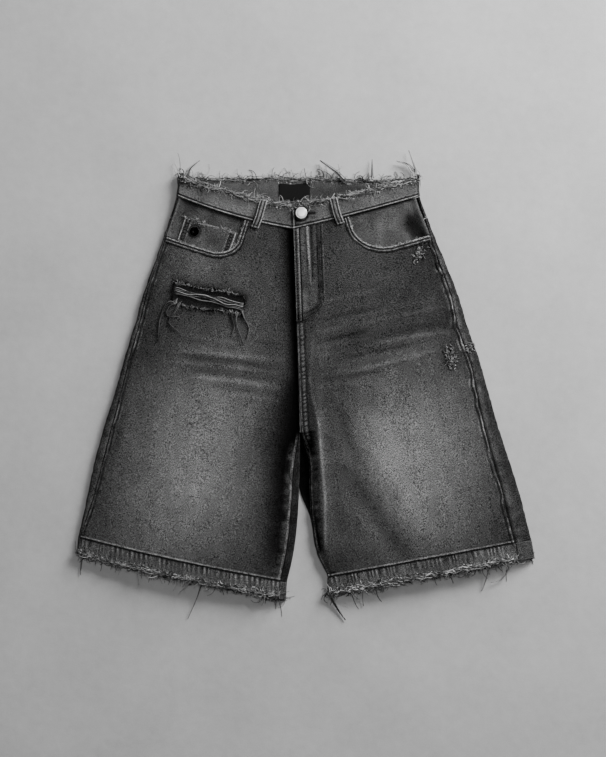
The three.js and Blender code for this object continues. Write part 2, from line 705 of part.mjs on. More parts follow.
// Short locks at uneven places along an edge. edge(u) gives a root, and heading(u) the way out.
function rowOfLocks(edge, heading, count, seed, { short, long, droop }) {
  const next = stream(seed);
  return Array.from({ length: count }, (_, i) => {
    const u = clamp((i + 0.5 + (next() - 0.5) * 0.9) / count, 0.01, 0.99);
    const turn = (next() - 0.5) * 1.1;
    const out = heading(u).applyAxisAngle(new THREE.Vector3(0, 0, 1), turn);
    out.setZ(0.5 * (next() - 0.4)).normalize();
    const length = lerp(short, long, next() ** 2);
    return lock(edge(u), out, { length, bend: (next() - 0.5) * 1.2, droop: droop * (0.6 + 0.8 * next()) });
  });
}

// A surface made straight between its stations, so that a strip and its roots agree
function straightBetween(surface, us) {
  return (u, v) => {
    const index = Math.max(0, us.findIndex((station) => station > Math.min(u, 0.9999)) - 1);
    const share = (u - us[index]) / (us[index + 1] - us[index]);
    return surface(us[index], v).lerp(surface(us[index + 1], v), share);
  };
}

// Fringe along an edge of a surface whose v runs out past the cloth. reach is the strip's place in v.
function edgeFringe(name, surface, reach, { us, side, raise, thickness, count, seed, locks, long = [] }) {
  const [near, far] = reach;
  const strip = straightBetween((u, v) => surface(u, lerp(near, far, v)), us);
  const edge = (u) => {
    const out = outward(strip, u, 0.6, side);
    return strip(u, 0.6).addScaledVector(out, raise - thickness / 2);
  };
  const heading = (u) => strip(u, 1).sub(strip(u, 0)).setZ(0).normalize();
  const made = rowOfLocks(edge, heading, count, seed, locks);
  for (const one of long) {
    const points = one.path.map(([x, y, z]) => new THREE.Vector3(x, y, z));
    made.push(thread([edge(one.at).addScaledVector(heading(one.at), -0.4), ...points], one.radius, 5));
  }
  fringe(name, wall(strip, { us, vs: [0, 1], side, thickness, raise }), made);
}

// Waist fringes follow the ragged edges; v counts rows out from them
function waistFringes() {
  const last = BAND_STEPS - 1;
  const front = (half, ragged) => (u, v) => {
    const along = lerp(1, last, u) / BAND_STEPS;
    return bandPoint(half, along, ragged(along) - v);
  };
  const us = even(last - 1);
  const locks = { short: 4, long: 11, droop: 0.15 };
  edgeFringe('fringe_waist_front_left', front(LEFT, RAGGED.left), [0.012, 0.06], {
    side: 1, raise: 0, thickness: 1.2, us, count: 20, seed: 11, locks,
  });
  edgeFringe('fringe_waist_front_right', front(RIGHT, RAGGED.right), [0.012, 0.06], {
    side: -1, raise: 0, thickness: 1.2, us, count: 20, seed: 12, locks,
  });
  const first = 7; // the back's fringe starts past the side folds
  const back = (u, v) => {
    const along = lerp(backBandStations[first], 1 - backBandStations[first], u);
    return bandBackPoint(along, BACK_TOP + RAGGED.back(along) - v);
  };
  const shown = backBandStations.slice(first, -first);
  const backUs = shown.map((station) => (station - shown[0]) / (shown.at(-1) - shown[0]));
  edgeFringe('fringe_waist_back', back, [0.025, 0.075], {
    side: -1, raise: -0.4, thickness: 1.2, us: backUs, count: 28, seed: 13,
    locks: { short: 4, long: 13, droop: 0 },
    long: [
      { at: 0.06, path: [[-173, 326, 5], [-160, 337, 4]], radius: 0.6 },
      { at: 0.52, path: [[-1, 314, 6], [-4, 326, 6]], radius: 0.7 },
      { at: 0.66, path: [[46, 320, 6], [30, 331, 7], [20, 337, 6]], radius: 1 },
      { at: 0.72, path: [[97, 322, 5], [98, 339, 4]], radius: 0.9 },
      { at: 0.93, path: [[150, 331, 5], [135, 336, 6]], radius: 0.8 },
      { at: 0.97, path: [[163, 324, 6], [158, 336, 8], [153, 352.4, 5]], radius: 0.6 },
    ],
  });
}

function hemFringes() {
  const front = (half) => (u, v) => {
    const row = HEM_EDGE + v;
    const section = sectionAt(half, row);
    return topPoint(half, row, lerp(section.side + 2, section.reach - section.inseam - 2, u));
  };
  const back = (half) => (u, v) => backPoint(half, HEM_EDGE + BACK_HEM_PAST + v, lerp(0.3, 0.84, u));
  const locks = { short: 4, long: 12, droop: 0.55 };
  edgeFringe('fringe_hem_front_left', front(LEFT), [0.02, 0.08], {
    side: -1, raise: 0, thickness: 1.2, us: even(14), count: 28, seed: 21, locks,
    long: [
      { at: 0.03, path: [[-337, -262, 3], [-339, -284, 2]], radius: 0.5 },
      { at: 0.57, path: [[-160, -305, 9], [-167, -325, 4], [-178, -350, 1.6]], radius: 0.6 },
    ],
  });
  edgeFringe('fringe_hem_front_right', front(RIGHT), [0.02, 0.08], {
    side: 1, raise: 0, thickness: 1.2, us: even(14), count: 28, seed: 22, locks,
    long: [
      { at: 0.98, path: [[38, -318, 6], [48, -336, 3], [58.5, -352.4, 2]], radius: 1.1 },
      { at: 0.86, path: [[84, -318, 5], [85, -331, 2]], radius: 0.6 },
      { at: 0.26, path: [[271, -282, 7], [265, -303, 3], [262, -308, 2]], radius: 0.6 },
      { at: 0.14, path: [[300, -280, 5], [291, -292, 4], [276, -295, 5]], radius: 0.5 },
    ],
  });
  const flat = { short: 4, long: 10, droop: 0 };
  edgeFringe('fringe_hem_back_left', back(LEFT), [0.02, 0.08], {
    side: 1, raise: -0.6, thickness: 1, us: even(8), count: 11, seed: 23, locks: flat,
  });
  edgeFringe('fringe_hem_back_right', back(RIGHT), [0.02, 0.08], {
    side: -1, raise: -0.6, thickness: 1, us: even(8), count: 11, seed: 24, locks: flat,
  });
}

// The point of the upper layer over a place in plan, lifted clear of it
function onFront(half, x, y, lift = 0) {
  const section = sectionAt(half, rowAt(half, x, y));
  const inward = section.width * (section.outerX - x) / (section.outerX - section.innerX);
  const point = topPoint(half, rowAt(half, x, y), inward);
  point.z += lift;
  return point;
}

// A worn patch on the right front: a small strip on the cloth with a tangle of short locks
function tuft(name, [fromX, fromY], [toX, toY], count, seed) {
  const along = new THREE.Vector2(toX - fromX, toY - fromY);
  const wide = new THREE.Vector2(-along.y, along.x).normalize().multiplyScalar(2.5);
  const surface = (u, v) => onFront(
    RIGHT,
    fromX + along.x * u + wide.x * (v - 0.5),
    fromY + along.y * u + wide.y * (v - 0.5),
  );
  const next = stream(seed);
  const locks = Array.from({ length: count }, (_, i) => {
    const root = surface((i + 0.5) / count, 0.5);
    root.z += GAP + 0.7;
    const angle = next() * 2 * Math.PI;
    const out = new THREE.Vector3(Math.cos(angle), Math.sin(angle), 0.25).normalize();
    return lock(root, out, { length: lerp(4, 8, next()), bend: (next() - 0.5) * 1.5, droop: -0.1 });
  });
  const strip = wall(surface, { us: even(3), vs: [0, 1], side: 1, thickness: 1, raise: GAP + 1 });
  fringe(name, strip, locks);
}

// Loose warp threads hang from a strip along the lower edge of the rip
function ripFringe() {
  const edge = new THREE.SplineCurve(RIP_EDGE.map(([x, y]) => new THREE.Vector2(x, y)));
  const strip = (u, v) => {
    const place = edge.getPoint(u);
    return onFront(LEFT, place.x, place.y + lerp(2.6, 1.2, v));
  };
  const next = stream(41);
  const locks = Array.from({ length: 8 }, (_, i) => {
    const root = strip((i + 0.5) / 8, 0.5);
    root.z -= CLOTH / 2;
    const out = new THREE.Vector3(next() - 0.5, 0.7, 0.5).normalize();
    return lock(root, out, { length: lerp(2.5, 4, next()), bend: next() - 0.5, droop: 0.3 });
  });
  for (const { at, path } of RIP_THREADS) {
    const root = strip(at, 0.5);
    root.z -= CLOTH / 2;
    const rise = new THREE.Vector3(root.x, root.y, root.z + 2.3);
    const over = path.map(([x, y]) => onFront(LEFT, x, y, 1.6));
    locks.push(thread([root, rise, ...over], 0.45, 6));
  }
  fringe('fringe_rip', wall(strip, { us: even(6), vs: [0, 1], side: -1, thickness: CLOTH }), locks);
}

// The row whose section passes through a place in plan
function rowAt(half, x, y) {
  let low = WAIST_SEAM;
  let high = HEM_EDGE;
  for (let i = 0; i < 30; i++) {
    const middle = (low + high) / 2;
    const section = sectionAt(half, middle);
    const share = (section.outerX - x) / (section.outerX - section.innerX);
    if (planPoint(section, share * section.width).y > y) low = middle;
    else high = middle;
  }
  return (low + high) / 2;
}

frontPanel('front_panel_left', LEFT, -1, [scoopOutline(SCOOPS.left), ...RIP_SLOTS]);
frontPanel('front_panel_right', RIGHT, 1, [scoopOutline(SCOOPS.right)]);
backPanel('back_panel_left', LEFT, 1);
backPanel('back_panel_right', RIGHT, -1);
yoke('yoke_left', LEFT, 1);
yoke('yoke_right', RIGHT, -1);
frontBand('waistband_front_left', LEFT, -1, RAGGED.left);
frontBand('waistband_front_right', RIGHT, 1, RAGGED.right);
backBand();
label();
facing('pocket_facing_left', SCOOPS.left, -1, 0);
facing('pocket_facing_right', SCOOPS.right, 1, 3.5);
coinPocket();
stud();
button();
fly();
frontLoop('belt_loop_front_left', LEFT, -1);
frontLoop('belt_loop_front_right', RIGHT, 1);
backLoop('belt_loop_back_left', -115);
backLoop('belt_loop_back_centre', -9);
backLoop('belt_loop_back_right', 95);
frontHem('hem_front_left', LEFT, -1, 7);
frontHem('hem_front_right', RIGHT, 1, 8);
backHem('hem_back_left', LEFT, 1);
backHem('hem_back_right', RIGHT, -1);
waistFringes();
hemFringes();
ripFringe();
tuft('tuft_thigh', [214, 55], [216, 28], 11, 31);
tuft('tuft_side_seam', [243, 52], [246, 60], 7, 32);
tuft('tuft_pocket', [165, 192], [174, 208], 8, 33);

export default group;
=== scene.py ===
# %% [markdown]
# Denim shorts, laid flat. The object is a pair of wide, knee-length shorts in washed black denim. It lies
# on its back on a pale floor, front side up, and is seen straight from above. Its waist and hems are cut
# raw and have frayed, one thigh is ripped, and three spots are worn through to tangles of thread.
# The lesson builds it piece by piece, as a maker would sew it: panels, band, pockets, hems, then the
# stitches and the loose threads. Each sheet of cloth is a grid of points worked out by formulas, because
# a grid lets us place every crease, seam ridge and faded spot and measure what we made.

# %% Load the rigid frame
import math

import bpy
import numpy as np
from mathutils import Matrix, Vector


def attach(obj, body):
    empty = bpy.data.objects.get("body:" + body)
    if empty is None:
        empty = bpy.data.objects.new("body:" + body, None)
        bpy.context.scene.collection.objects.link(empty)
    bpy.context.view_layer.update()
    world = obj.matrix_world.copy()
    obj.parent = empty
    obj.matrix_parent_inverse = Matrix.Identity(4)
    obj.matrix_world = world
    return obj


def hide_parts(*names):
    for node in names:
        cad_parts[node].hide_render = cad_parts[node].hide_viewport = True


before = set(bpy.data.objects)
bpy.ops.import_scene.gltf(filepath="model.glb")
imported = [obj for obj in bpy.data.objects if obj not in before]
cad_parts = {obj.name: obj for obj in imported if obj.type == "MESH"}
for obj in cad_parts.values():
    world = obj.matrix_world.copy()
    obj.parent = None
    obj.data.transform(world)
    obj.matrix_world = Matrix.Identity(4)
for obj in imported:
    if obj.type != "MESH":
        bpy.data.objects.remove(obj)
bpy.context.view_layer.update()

# %% [markdown]
# Sizes. The garment is described by sections across each half, from the raw waist edge (row 0) to the raw
# hem (row 13). They are the same numbers that the solid model has, in millimetres, so that each fine
# sheet here lies on its solid. All shapes are worked out in millimetres and turned into metres last.

# %% Driving sizes
MM = 0.001
CLOTH, BAND_CLOTH, HEM_CLOTH, PATCH_CLOTH, LABEL_CLOTH = 1.3, 2.4, 1.8, 1.1, 0.8
GAP, SEAM, BAND_PROUD, FOLD = 0.3, 0.5, 0.5, 4.5
WAIST_CENTRE, CROTCH = (-20.0, 234.0), (-9.0, -68.0)
WAIST_SEAM, CROTCH_ROW, HEM_SEAM, HEM_EDGE = 1, 7, 12, 13
COLUMNS = ("outer_x", "outer_y", "inner_x", "inner_y", "crown", "centre", "side", "inseam", "wrap",
           "lift", "bow", "back_y")
LEFT = np.array([
    (-191.5, 313, -21.5, 269.5, 17, 14.5, 2, 0, 0, 2.6, 5, 33.5),
    (-194.5, 284, -20, 234, 18.5, 14.5, 2, 0, 0, 2.4, 6, 37),
    (-208.5, 240, -18, 187, 20, 14, 2.5, 0, 0, 0, 5, 31),
    (-225.5, 190, -16, 135, 22, 14, 3.5, 0, 0, 0, 3, 24),
    (-243.5, 140, -14.5, 83, 24, 14, 4.5, 0, 0, 0, 2, 17),
    (-257.5, 90, -12.5, 32, 25, 13.5, 6, 0, 0, 0, 1, 10),
    (-273, 40, -11, -18, 25, 12, 7, 0, 0.25, 0, 0, 4),
    (-287, -10, -9, -68, 25, 9, 9, 1, 1, 0, 0, 0),
    (-302.5, -60, -9.5, -121, 25, 9, 11, 9, 1, 0, 0, 0),
    (-316.5, -110, -11, -172, 25, 9, 12, 11, 1, 0, 1, 0),
    (-327.5, -160, -15, -224, 24, 9, 10, 11.5, 1, 0, 2, 0),
    (-335, -198, -21, -262, 22, 9, 5, 11, 1, 0, 3, 0),
    (-342, -227, -28.5, -294.5, 20, 9, 3, 11, 1, 0, 3, 0),
    (-344.5, -250, -30, -318, 17, 9, 3, 12, 1, 0, 3, 0),
])
RIGHT = np.array([
    (169, 311.5, -21.5, 269.5, 17, 15, 2, 0, 0, 2.6, 4, 33.5),
    (170, 283.5, -20, 234, 18.5, 15, 3, 0, 0, 2.4, 2, 37),
    (186, 240, -18, 187, 20, 15, 5, 0, 0, 0, 3, 31),
    (206, 190, -16, 135, 22, 15, 8.5, 0, 0, 0, 2, 24),
    (226, 140, -14.5, 83, 24, 14.5, 10.5, 0, 0, 0, 1, 17),
    (241, 90, -12.5, 32, 25, 14, 15, 0, 0, 0, 0, 10),
    (259, 40, -11, -18, 25, 12, 14.5, 0, 0.25, 0, 0, 4),
    (273.5, -12, -9, -68, 25, 9, 18, 1, 1, 0, 0, 0),
    (287, -60, 3, -113, 25, 9, 21, 0.8, 1, 0, 0, 0),
    (303, -110, 4.5, -164, 25, 9, 23, 0.8, 1, 0, 0, 0),
    (319, -160, 8.5, -215, 24, 9, 25, 0.8, 1, 0, 0, 0),
    (329, -198, 16, -254, 22, 9, 26, 0.8, 1, 0, 0, 0),
    (337.5, -230.5, 31, -287, 20, 9, 26, 0.8, 1, 0, 0, 0),
    (342, -255, 31, -312, 17, 9, 26, 0.8, 1, 0, 0, 0),
])
SCOOPS = {
    "left": {"half": LEFT, "width": 107, "depth": 2.33, "corner": 34, "drop": 0.55},
    "right": {"half": RIGHT, "width": 111, "depth": 2.27, "corner": 48, "drop": 0.8},
}
COIN_POCKET = {"near": 21, "far": 101, "top": 1.54, "bottom": 2.5, "under": 1.6}
STUD = {"inward": 41, "row": 1.89, "radius": 7, "height": 1.7}
BUTTON = {"out": 13.5, "row": 0.48, "radius": 8.6, "height": 4.2}
FLY = {"width": 45, "row": 3.77, "curve": 0.54}
LOOP = {"width": 11.5, "top_in": 132, "bottom_in": 124.5, "top": 0.04, "bottom": 1.2, "arch": 1.6}
LABEL = {"left": -41, "right": 5.5, "top": 0.1, "bottom": 0.86}
FACING_DEPTH, BACK_TOP = 3, -0.16
# Millimetres of cloth to one row, and of a belt loop's whole length
BAND_ROW, HEM_ROW, POCKET_ROW, FLY_ROW, LOOP_LENGTH = 42, 24.5, 46, 50, 52
# Shares of the way round a back: to the side fold, round it, and across to the inner fold
TO_FOLD, ROUND_FOLD, TO_INNER = 0.25, 0.45, 0.72

# %% [markdown]
# Soft folds and creases. Real denim keeps the creases of the wearer's lap (whiskers), a valley beside the
# fly and long drag lines down the legs. Each is one row of the table: two ends, a half width, a height
# (below zero for a trough) and how much paler or darker the cloth is along it. Raised creases rub pale,
# and the darker colour along troughs is painted shade. They are placed one by one and uneven, as creases
# are.

# %% Creases of the front
# Each row: from x, from y, to x, to y, half width, height, wear and shade (pale wear above zero, painted
# shade below zero)
BIG_FOLDS = np.array([
    (14, -10, 28, -260, 8, 2.6, 0.2),
    (60, -130, 150, -262, 16, -2.4, -0.3),
    (95, -100, 185, -235, 18, 2, 0.1),
    (-36, -90, -62, -255, 12, -2.6, -0.1),
    (-175, 52, -70, 38, 8, 1.2, 0.12),
    (-168, 28, -50, 20, 7, -1.1, -0.2),
    (40, 95, 190, 128, 9, 1.3, 0.12),
    (50, 62, 205, 92, 8, -1.2, -0.2),
    (35, 20, 150, 45, 8, 1.1, 0.14),
    (-150, -120, -190, -235, 20, 1.6, 0.1),
])
FINE_CREASES = np.array([
    (9, 74, 4, 10, 2.6, 0.6, 0.15),
    (4, 14, 9, -24, 2.2, 0.6, 0.3),
    (9, -18, 18, -58, 1.8, 0.6, 0.6),
    (18, -50, 21, -92, 1.8, 0.6, 0.7),
    (20, -84, 28, -176, 1.9, 0.7, 0.75),
    (28, -168, 27, -242, 1.9, 0.6, 0.6),
    (24, -40, 40, -250, 9, 0.3, 0.12),
    (-200, 52, -120, 46, 3.4, 0.5, 0.14),
    (-132, 45, -36, 38, 2.6, 0.5, 0.2),
    (-180, 42, -70, 31, 3.4, -0.5, -0.13),
    (-205, 35, -86, 24, 3.2, 0.5, 0.17),
    (-110, 27, -41, 19, 2.8, 0.5, 0.2),
    (-170, 22, -52, 9, 3.4, -0.5, -0.15),
    (-168, 12, -80, 3, 3.0, 0.6, 0.2),
    (-96, 4, -36, -4, 3.4, 0.4, 0.15),
    (-140, -2, -50, -13, 3.6, -0.4, -0.1),
    (-120, -12, -40, -24, 3.2, 0.4, 0.08),
    (-196, 76, -110, 62, 3.2, 0.5, 0.12),
    (-92, 66, -40, 62, 2.8, -0.4, -0.12),
    (33, 127, 102, 141, 3.2, 0.5, 0.16),
    (28, 100, 110, 116, 3.6, -0.5, -0.17),
    (18, 79, 110, 98, 3, 0.6, 0.16),
    (96, 95, 211, 119, 2.8, 0.6, 0.2),
    (24, 66, 90, 82, 3, -0.6, -0.2),
    (24, 58, 96, 71, 2.6, 0.5, 0.14),
    (34, 48, 108, 62, 3.4, -0.7, -0.26),
    (18, 44, 177, 77, 3, 0.7, 0.24),
    (160, 73, 214, 80, 2.8, 0.4, 0.16),
    (58, 42, 160, 62, 3.2, -0.5, -0.15),
    (26, 20, 120, 40, 3, -0.5, -0.12),
    (60, 18, 186, 50, 3, 0.6, 0.2),
    (20, 8, 110, 20, 3.4, -0.4, -0.12),
    (18, -4, 92, 6, 3, 0.4, 0.1),
    (60, 150, 150, 166, 7, 0.7, 0.05),
    (-150, 120, -60, 96, 8, 0.7, 0.05),
    (-70, 190, -44, 120, 7, 0.9, 0.06),
    (-200, 200, -236, 110, 6, 0.7, 0),
    (196, 150, 226, 96, 7, 0.9, 0),
    (-262, -30, -292, -150, 7, 0.8, 0.05),
    (232, 20, 262, -120, 8, 0.9, 0.05),
    (262, -110, 292, -225, 7, 0.7, 0),
    (-90, -40, -76, -150, 11, 0.8, 0.05),
    (48, -30, 70, -110, 9, -0.9, -0.12),
    (-236, -200, -250, -268, 8, 0.8, 0),
    (200, -190, 226, -262, 9, 0.8, 0),
    (-110, -215, -118, -280, 8, 0.7, 0),
    (120, -60, 136, -120, 12, 0.6, 0.04),
])

# %% [markdown]
# The section functions turn a row and a distance in from the side fold into a point. The upper layer
# climbs the side fold, crosses a low crown and, below the crotch, rolls down the inner fold. The lower
# layer goes round the folds and lies flat on the floor. They work on whole arrays at once, so a sheet of
# thirty thousand points takes no time.

# %% Sections
def lerp(start, stop, share):
    return start + (stop - start) * share


def smooth(value):
    value = np.clip(value, 0, 1)
    return value * value * (3 - 2 * value)


def bell(value, width):
    return np.exp(-(np.asarray(value) / width) ** 2)


def curve_between(before, here, there, after, part):
    """A smooth curve from here to there, by way of the points before and after them."""
    return 0.5 * (2 * here + (there - before) * part
                  + (2 * before - 5 * here + 4 * there - after) * part ** 2
                  + (3 * here - before - 3 * there + after) * part ** 3)


def together(first, second):
    return np.broadcast_arrays(np.asarray(first, float), np.asarray(second, float))


def section_at(half, row):
    """The sections of one half at any rows, on smooth curves through its table."""
    row = np.asarray(row, float)
    last = len(half) - 1
    index = np.clip(np.floor(row).astype(int), 0, last - 1)
    part = (row - index)[..., None]
    near = [half[np.clip(index + step, 0, last)] for step in (-1, 0, 1, 2)]
    straight = ((row < 0) | (row > HEM_SEAM))[..., None]
    values = np.where(straight, lerp(near[1], near[2], part), curve_between(*near, part))
    section = dict(zip(COLUMNS, np.moveaxis(values, -1, 0)))
    down = (WAIST_CENTRE[1] - section["inner_y"]) / (WAIST_CENTRE[1] - CROTCH[1])
    centre_x = lerp(WAIST_CENTRE[0], CROTCH[0], down)
    section["inner_x"] = np.where(row <= CROTCH_ROW, centre_x, section["inner_x"])
    section["wrap"] = np.clip(section["wrap"], 0, 1)
    section["lift"] = np.maximum(section["lift"], 0)
    section["width"] = np.hypot(section["inner_x"] - section["outer_x"],
                                section["inner_y"] - section["outer_y"])
    section["reach"] = section["width"] - SEAM / 2
    return section


def plan_point(section, inward):
    """Place in plan of points that lie a distance in from the side fold."""
    share = inward / section["width"]
    sag = np.where(share > 0, section["bow"] * 4 * share * (1 - share), 0)
    x = lerp(section["outer_x"], section["inner_x"], share)
    return x, lerp(section["outer_y"], section["inner_y"], share) - sag


def share_at(section, x):
    """How far across a section each x lies, from 0 at the side fold to 1."""
    return (section["outer_x"] - x) / (section["outer_x"] - section["inner_x"])


def crease_sum(x, y, table, column):
    """Sum of the creases' heights, or of their pale wear and painted shade, at places in plan."""
    total = np.zeros(np.broadcast(x, y).shape)
    for from_x, from_y, to_x, to_y, width, height, fade in table:
        along_x, along_y = to_x - from_x, to_y - from_y
        length = math.hypot(along_x, along_y)
        share = ((x - from_x) * along_x + (y - from_y) * along_y) / length ** 2
        away = ((x - from_x) * along_y - (y - from_y) * along_x) / length
        ends = smooth(share * 3 + 0.5) * smooth((1 - share) * 3 + 0.5)
        total += (height if column == "height" else fade) * ends * bell(away, width)
    return total


def top_height(section, inward):
    """Height of the upper layer: up the side fold, over the crown and down the inner fold."""
    edge = section["lift"] + 2 * FOLD
    rolled = section["lift"] + FOLD + np.sqrt(np.maximum(0, FOLD ** 2 - (FOLD - inward) ** 2))
    inner_fold = FOLD * section["wrap"]
    past = inward - (section["reach"] - inner_fold)
    turned = section["centre"] - inner_fold + np.sqrt(np.maximum(0, inner_fold ** 2 - past ** 2))
    share = np.clip((inward - FOLD) / (section["reach"] - inner_fold - FOLD), 0, 1)
    base = lerp(edge, section["centre"], share)
    swell = section["crown"] - lerp(edge, section["centre"], 0.5)
    crowned = base + swell * (4 * share * (1 - share)) ** 0.8
    height = np.where((past > 0) & (inner_fold > 0), turned, crowned)
    return np.where(inward < FOLD, rolled, height)


def top_point(half, row, inward):
    """Points of the upper layer's outer side."""
    row, inward = together(row, inward)
    section = section_at(half, row)
    x, y = plan_point(section, inward)
    flat = smooth((inward - FOLD) / 15) * smooth((section["reach"] - FOLD - inward) / 12)
    height = top_height(section, inward) + crease_sum(x, y, BIG_FOLDS, "height") * flat
    return np.stack([x, y, height], -1)


def inner_fold_point(section, share):
    """The lower layer's last stretch: flat to the centre back, or round the inner fold to the inseam."""
    seam = np.maximum(section["inseam"] - SEAM / 2, 0)
    turn = np.where(seam < FOLD, math.pi - np.arcsin(np.clip((FOLD - seam) / FOLD, 0, 1)), math.pi)
    arc = FOLD * turn
    travel = (arc + np.maximum(0, seam - FOLD)) * share
    middle = section["reach"] - FOLD
    inward = middle - (travel - arc)
    height = top_height(section, np.minimum(inward, middle))
    bent = travel <= arc
    inward = np.where(bent, middle + FOLD * np.sin(travel / FOLD), inward)
    height = np.where(bent, FOLD * (1 - np.cos(travel / FOLD)), height)
    return (lerp(middle + FOLD * share, inward, section["wrap"]),
            lerp(section["lift"], height, section["wrap"]))


def under_share(station):
    return (station - ROUND_FOLD) / (TO_INNER - ROUND_FOLD)


def back_point(half, row, station):
    """Points of the lower layer's outer side, from the side seam round the fold and underneath."""
    row, station = together(row, station)
    section = section_at(half, row)
    over = (section["side"] - SEAM / 2) * (1 - station / TO_FOLD) ** 2
    angle = (station - TO_FOLD) / (ROUND_FOLD - TO_FOLD) * math.pi / 2
    under = FOLD * (1 - np.cos(angle))
    across = lerp(FOLD, section["reach"] - FOLD, under_share(station))
    last = np.clip((station - TO_INNER) / (1 - TO_INNER), 0, 1)
    end, end_height = inner_fold_point(section, last)
    stretches = [station < TO_FOLD, station < ROUND_FOLD, station < TO_INNER]
    inward = np.select(stretches, [over, under, across], end)
    height = np.select(stretches[1:], [section["lift"] + FOLD * (1 - np.sin(angle)), section["lift"]],
                       end_height)
    x, y = plan_point(section, inward)
    risen = section["back_y"] * smooth(inward / section["width"])
    low = np.stack([x, y + risen, height], -1)
    return np.where(stretches[0][..., None], top_point(half, row, inward), low)


def rows_at(half, x, y):
    """The rows whose sections pass through places in plan, found by halving."""
    low = np.full(np.shape(x), -0.3)
    high = np.full(np.shape(x), HEM_EDGE + 0.3)
    for _ in range(26):
        middle = (low + high) / 2
        section = section_at(half, middle)
        above = plan_point(section, share_at(section, x) * section["width"])[1] > y
        low = np.where(above, middle, low)
        high = np.where(above, high, middle)
    return (low + high) / 2


def on_front(half, x, y, lift=0.0):
    """Points of the upper layer over places in plan, lifted clear of it."""
    x, y = together(x, y)
    row = rows_at(half, x, y)
    section = section_at(half, row)
    points = top_point(half, row, share_at(section, x) * section["width"])
    points[..., 2] += crease_sum(x, y, FINE_CREASES, "height") + lift
    return points


print("left half reaches", round(float(section_at(LEFT, 7.0)["width"]), 1), "mm at the crotch")

# %% [markdown]
# A sheet of cloth becomes a mesh in one place. The function takes a grid of points in millimetres with
# two numbers for each: tone, how light the dyed cloth is there, and worn, how much its raised yarns have
# rubbed to bare cotton. Both are stored on the mesh and the materials read them. Solidify gives the sheet
# its real thickness, so it has an edge where it is cut. The alternative, painting a texture, needs an
# image, and these masks follow the seams by themselves.

# %% Sheets of cloth
def uneven(x, y, size, seed):
    """Smooth chance from -1 to 1 with lumps of about that size."""
    table = np.random.default_rng(seed).uniform(-1, 1, (64, 64))
    place_x, place_y = np.asarray(x) / size, np.asarray(y) / size
    cell_x, cell_y = np.floor(place_x).astype(int), np.floor(place_y).astype(int)
    part_x, part_y = smooth(place_x - cell_x), smooth(place_y - cell_y)
    near = lerp(table[cell_x % 64, cell_y % 64], table[(cell_x + 1) % 64, cell_y % 64], part_x)
    far = lerp(table[cell_x % 64, (cell_y + 1) % 64], table[(cell_x + 1) % 64, (cell_y + 1) % 64], part_x)
    return lerp(near, far, part_y)


def wavy(run, size, seed):
    """Smooth chance along a line."""
    return uneven(run, 0, size, seed)


def rungs(run, pitch):
    """Rungs of a ladder from 0 to 1, a pitch apart."""
    return 0.5 + 0.5 * np.cos(2 * math.pi * run / pitch)


def plan_of(points):
    return points[..., 0], points[..., 1]


def stations(length, fine, coarse, margin):
    """Places from 0 to 1 that lie a fine step apart near both ends and a coarse step between."""
    steps = [0.0]
    while steps[-1] < length / 2:
        steps.append(steps[-1] + lerp(fine, coarse, float(smooth((steps[-1] - margin) / (2 * margin)))))
    first = np.array(steps) / (2 * steps[-1])
    return np.concatenate([first, 1 - first[-2::-1]])


def outward(points, side):
    """Unit normals of a grid on its outer side."""
    normal = np.cross(np.gradient(points, axis=1), np.gradient(points, axis=0))
    return side * normal / np.maximum(np.linalg.norm(normal, axis=-1, keepdims=True), 1e-9)


def raised(points, side, height):
    height = np.broadcast_to(np.asarray(height, float), points.shape[:2])
    return points + outward(points, side) * height[..., None]


def set_masks(mesh, tone, worn):
    for name, values in (("tone", tone), ("worn", worn)):
        mask = mesh.attributes.new(name, "FLOAT", "POINT")
        mask.data.foreach_set("value", np.ascontiguousarray(values, dtype=np.float32))


def add_object(name, data):
    made = bpy.data.objects.new(name, data)
    bpy.context.scene.collection.objects.link(made)
    return made


def new_piece(name, vertices, faces, tone, worn, finish):
    mesh = bpy.data.meshes.new(name)
    mesh.from_pydata((np.asarray(vertices) * MM).tolist(), [], faces)
    set_masks(mesh, tone, worn)
    mesh.materials.append(finish)
    mesh.shade_smooth()
    piece = add_object(name, mesh)
    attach(piece, "root")
    return piece


def cloth(name, points, side, thickness, tone, worn, finish, keep=None):
    """One sheet of cloth from a grid of points on its outer side."""
    tall, wide = points.shape[:2]
    index = np.arange(tall * wide).reshape(tall, wide)
    quads = np.stack([index[:-1, :-1], index[:-1, 1:], index[1:, 1:], index[1:, :-1]], -1)
    quads = quads[keep] if keep is not None else quads.reshape(-1, 4)
    used, faces = np.unique(quads, return_inverse=True)
    faces = faces.reshape(-1, 4)
    if side < 0:
        faces = faces[:, ::-1]
    tone = np.broadcast_to(tone, (tall, wide)).ravel()[used]
    worn = np.broadcast_to(worn, (tall, wide)).ravel()[used]
    piece = new_piece(f"{name}_cloth", points.reshape(-1, 3)[used], faces.tolist(), tone, worn, finish)
    thick = piece.modifiers.new("thickness", "SOLIDIFY")
    thick.thickness = thickness * MM
    thick.offset = -1
    print(name, len(faces), "faces")
    return piece


def cut_size(points, keep=None):
    """Width, length and area in metres of the flat piece that a grid was cut from."""
    across = np.linalg.norm(np.diff(points, axis=1), axis=-1).sum(1).max() * MM
    down = np.linalg.norm(np.diff(points, axis=0), axis=-1).sum(0).max() * MM
    corner = np.cross(points[:-1, 1:] - points[:-1, :-1], points[1:, :-1] - points[:-1, :-1])
    other = np.cross(points[1:, :-1] - points[1:, 1:], points[:-1, 1:] - points[1:, 1:])
    areas = (np.linalg.norm(corner, axis=-1) + np.linalg.norm(other, axis=-1)) / 2
    area = (areas[keep] if keep is not None else areas).sum() * MM ** 2
    return (math.ceil(across * 1e4) / 1e4, math.ceil(down * 1e4) / 1e4), round(float(area), 6)


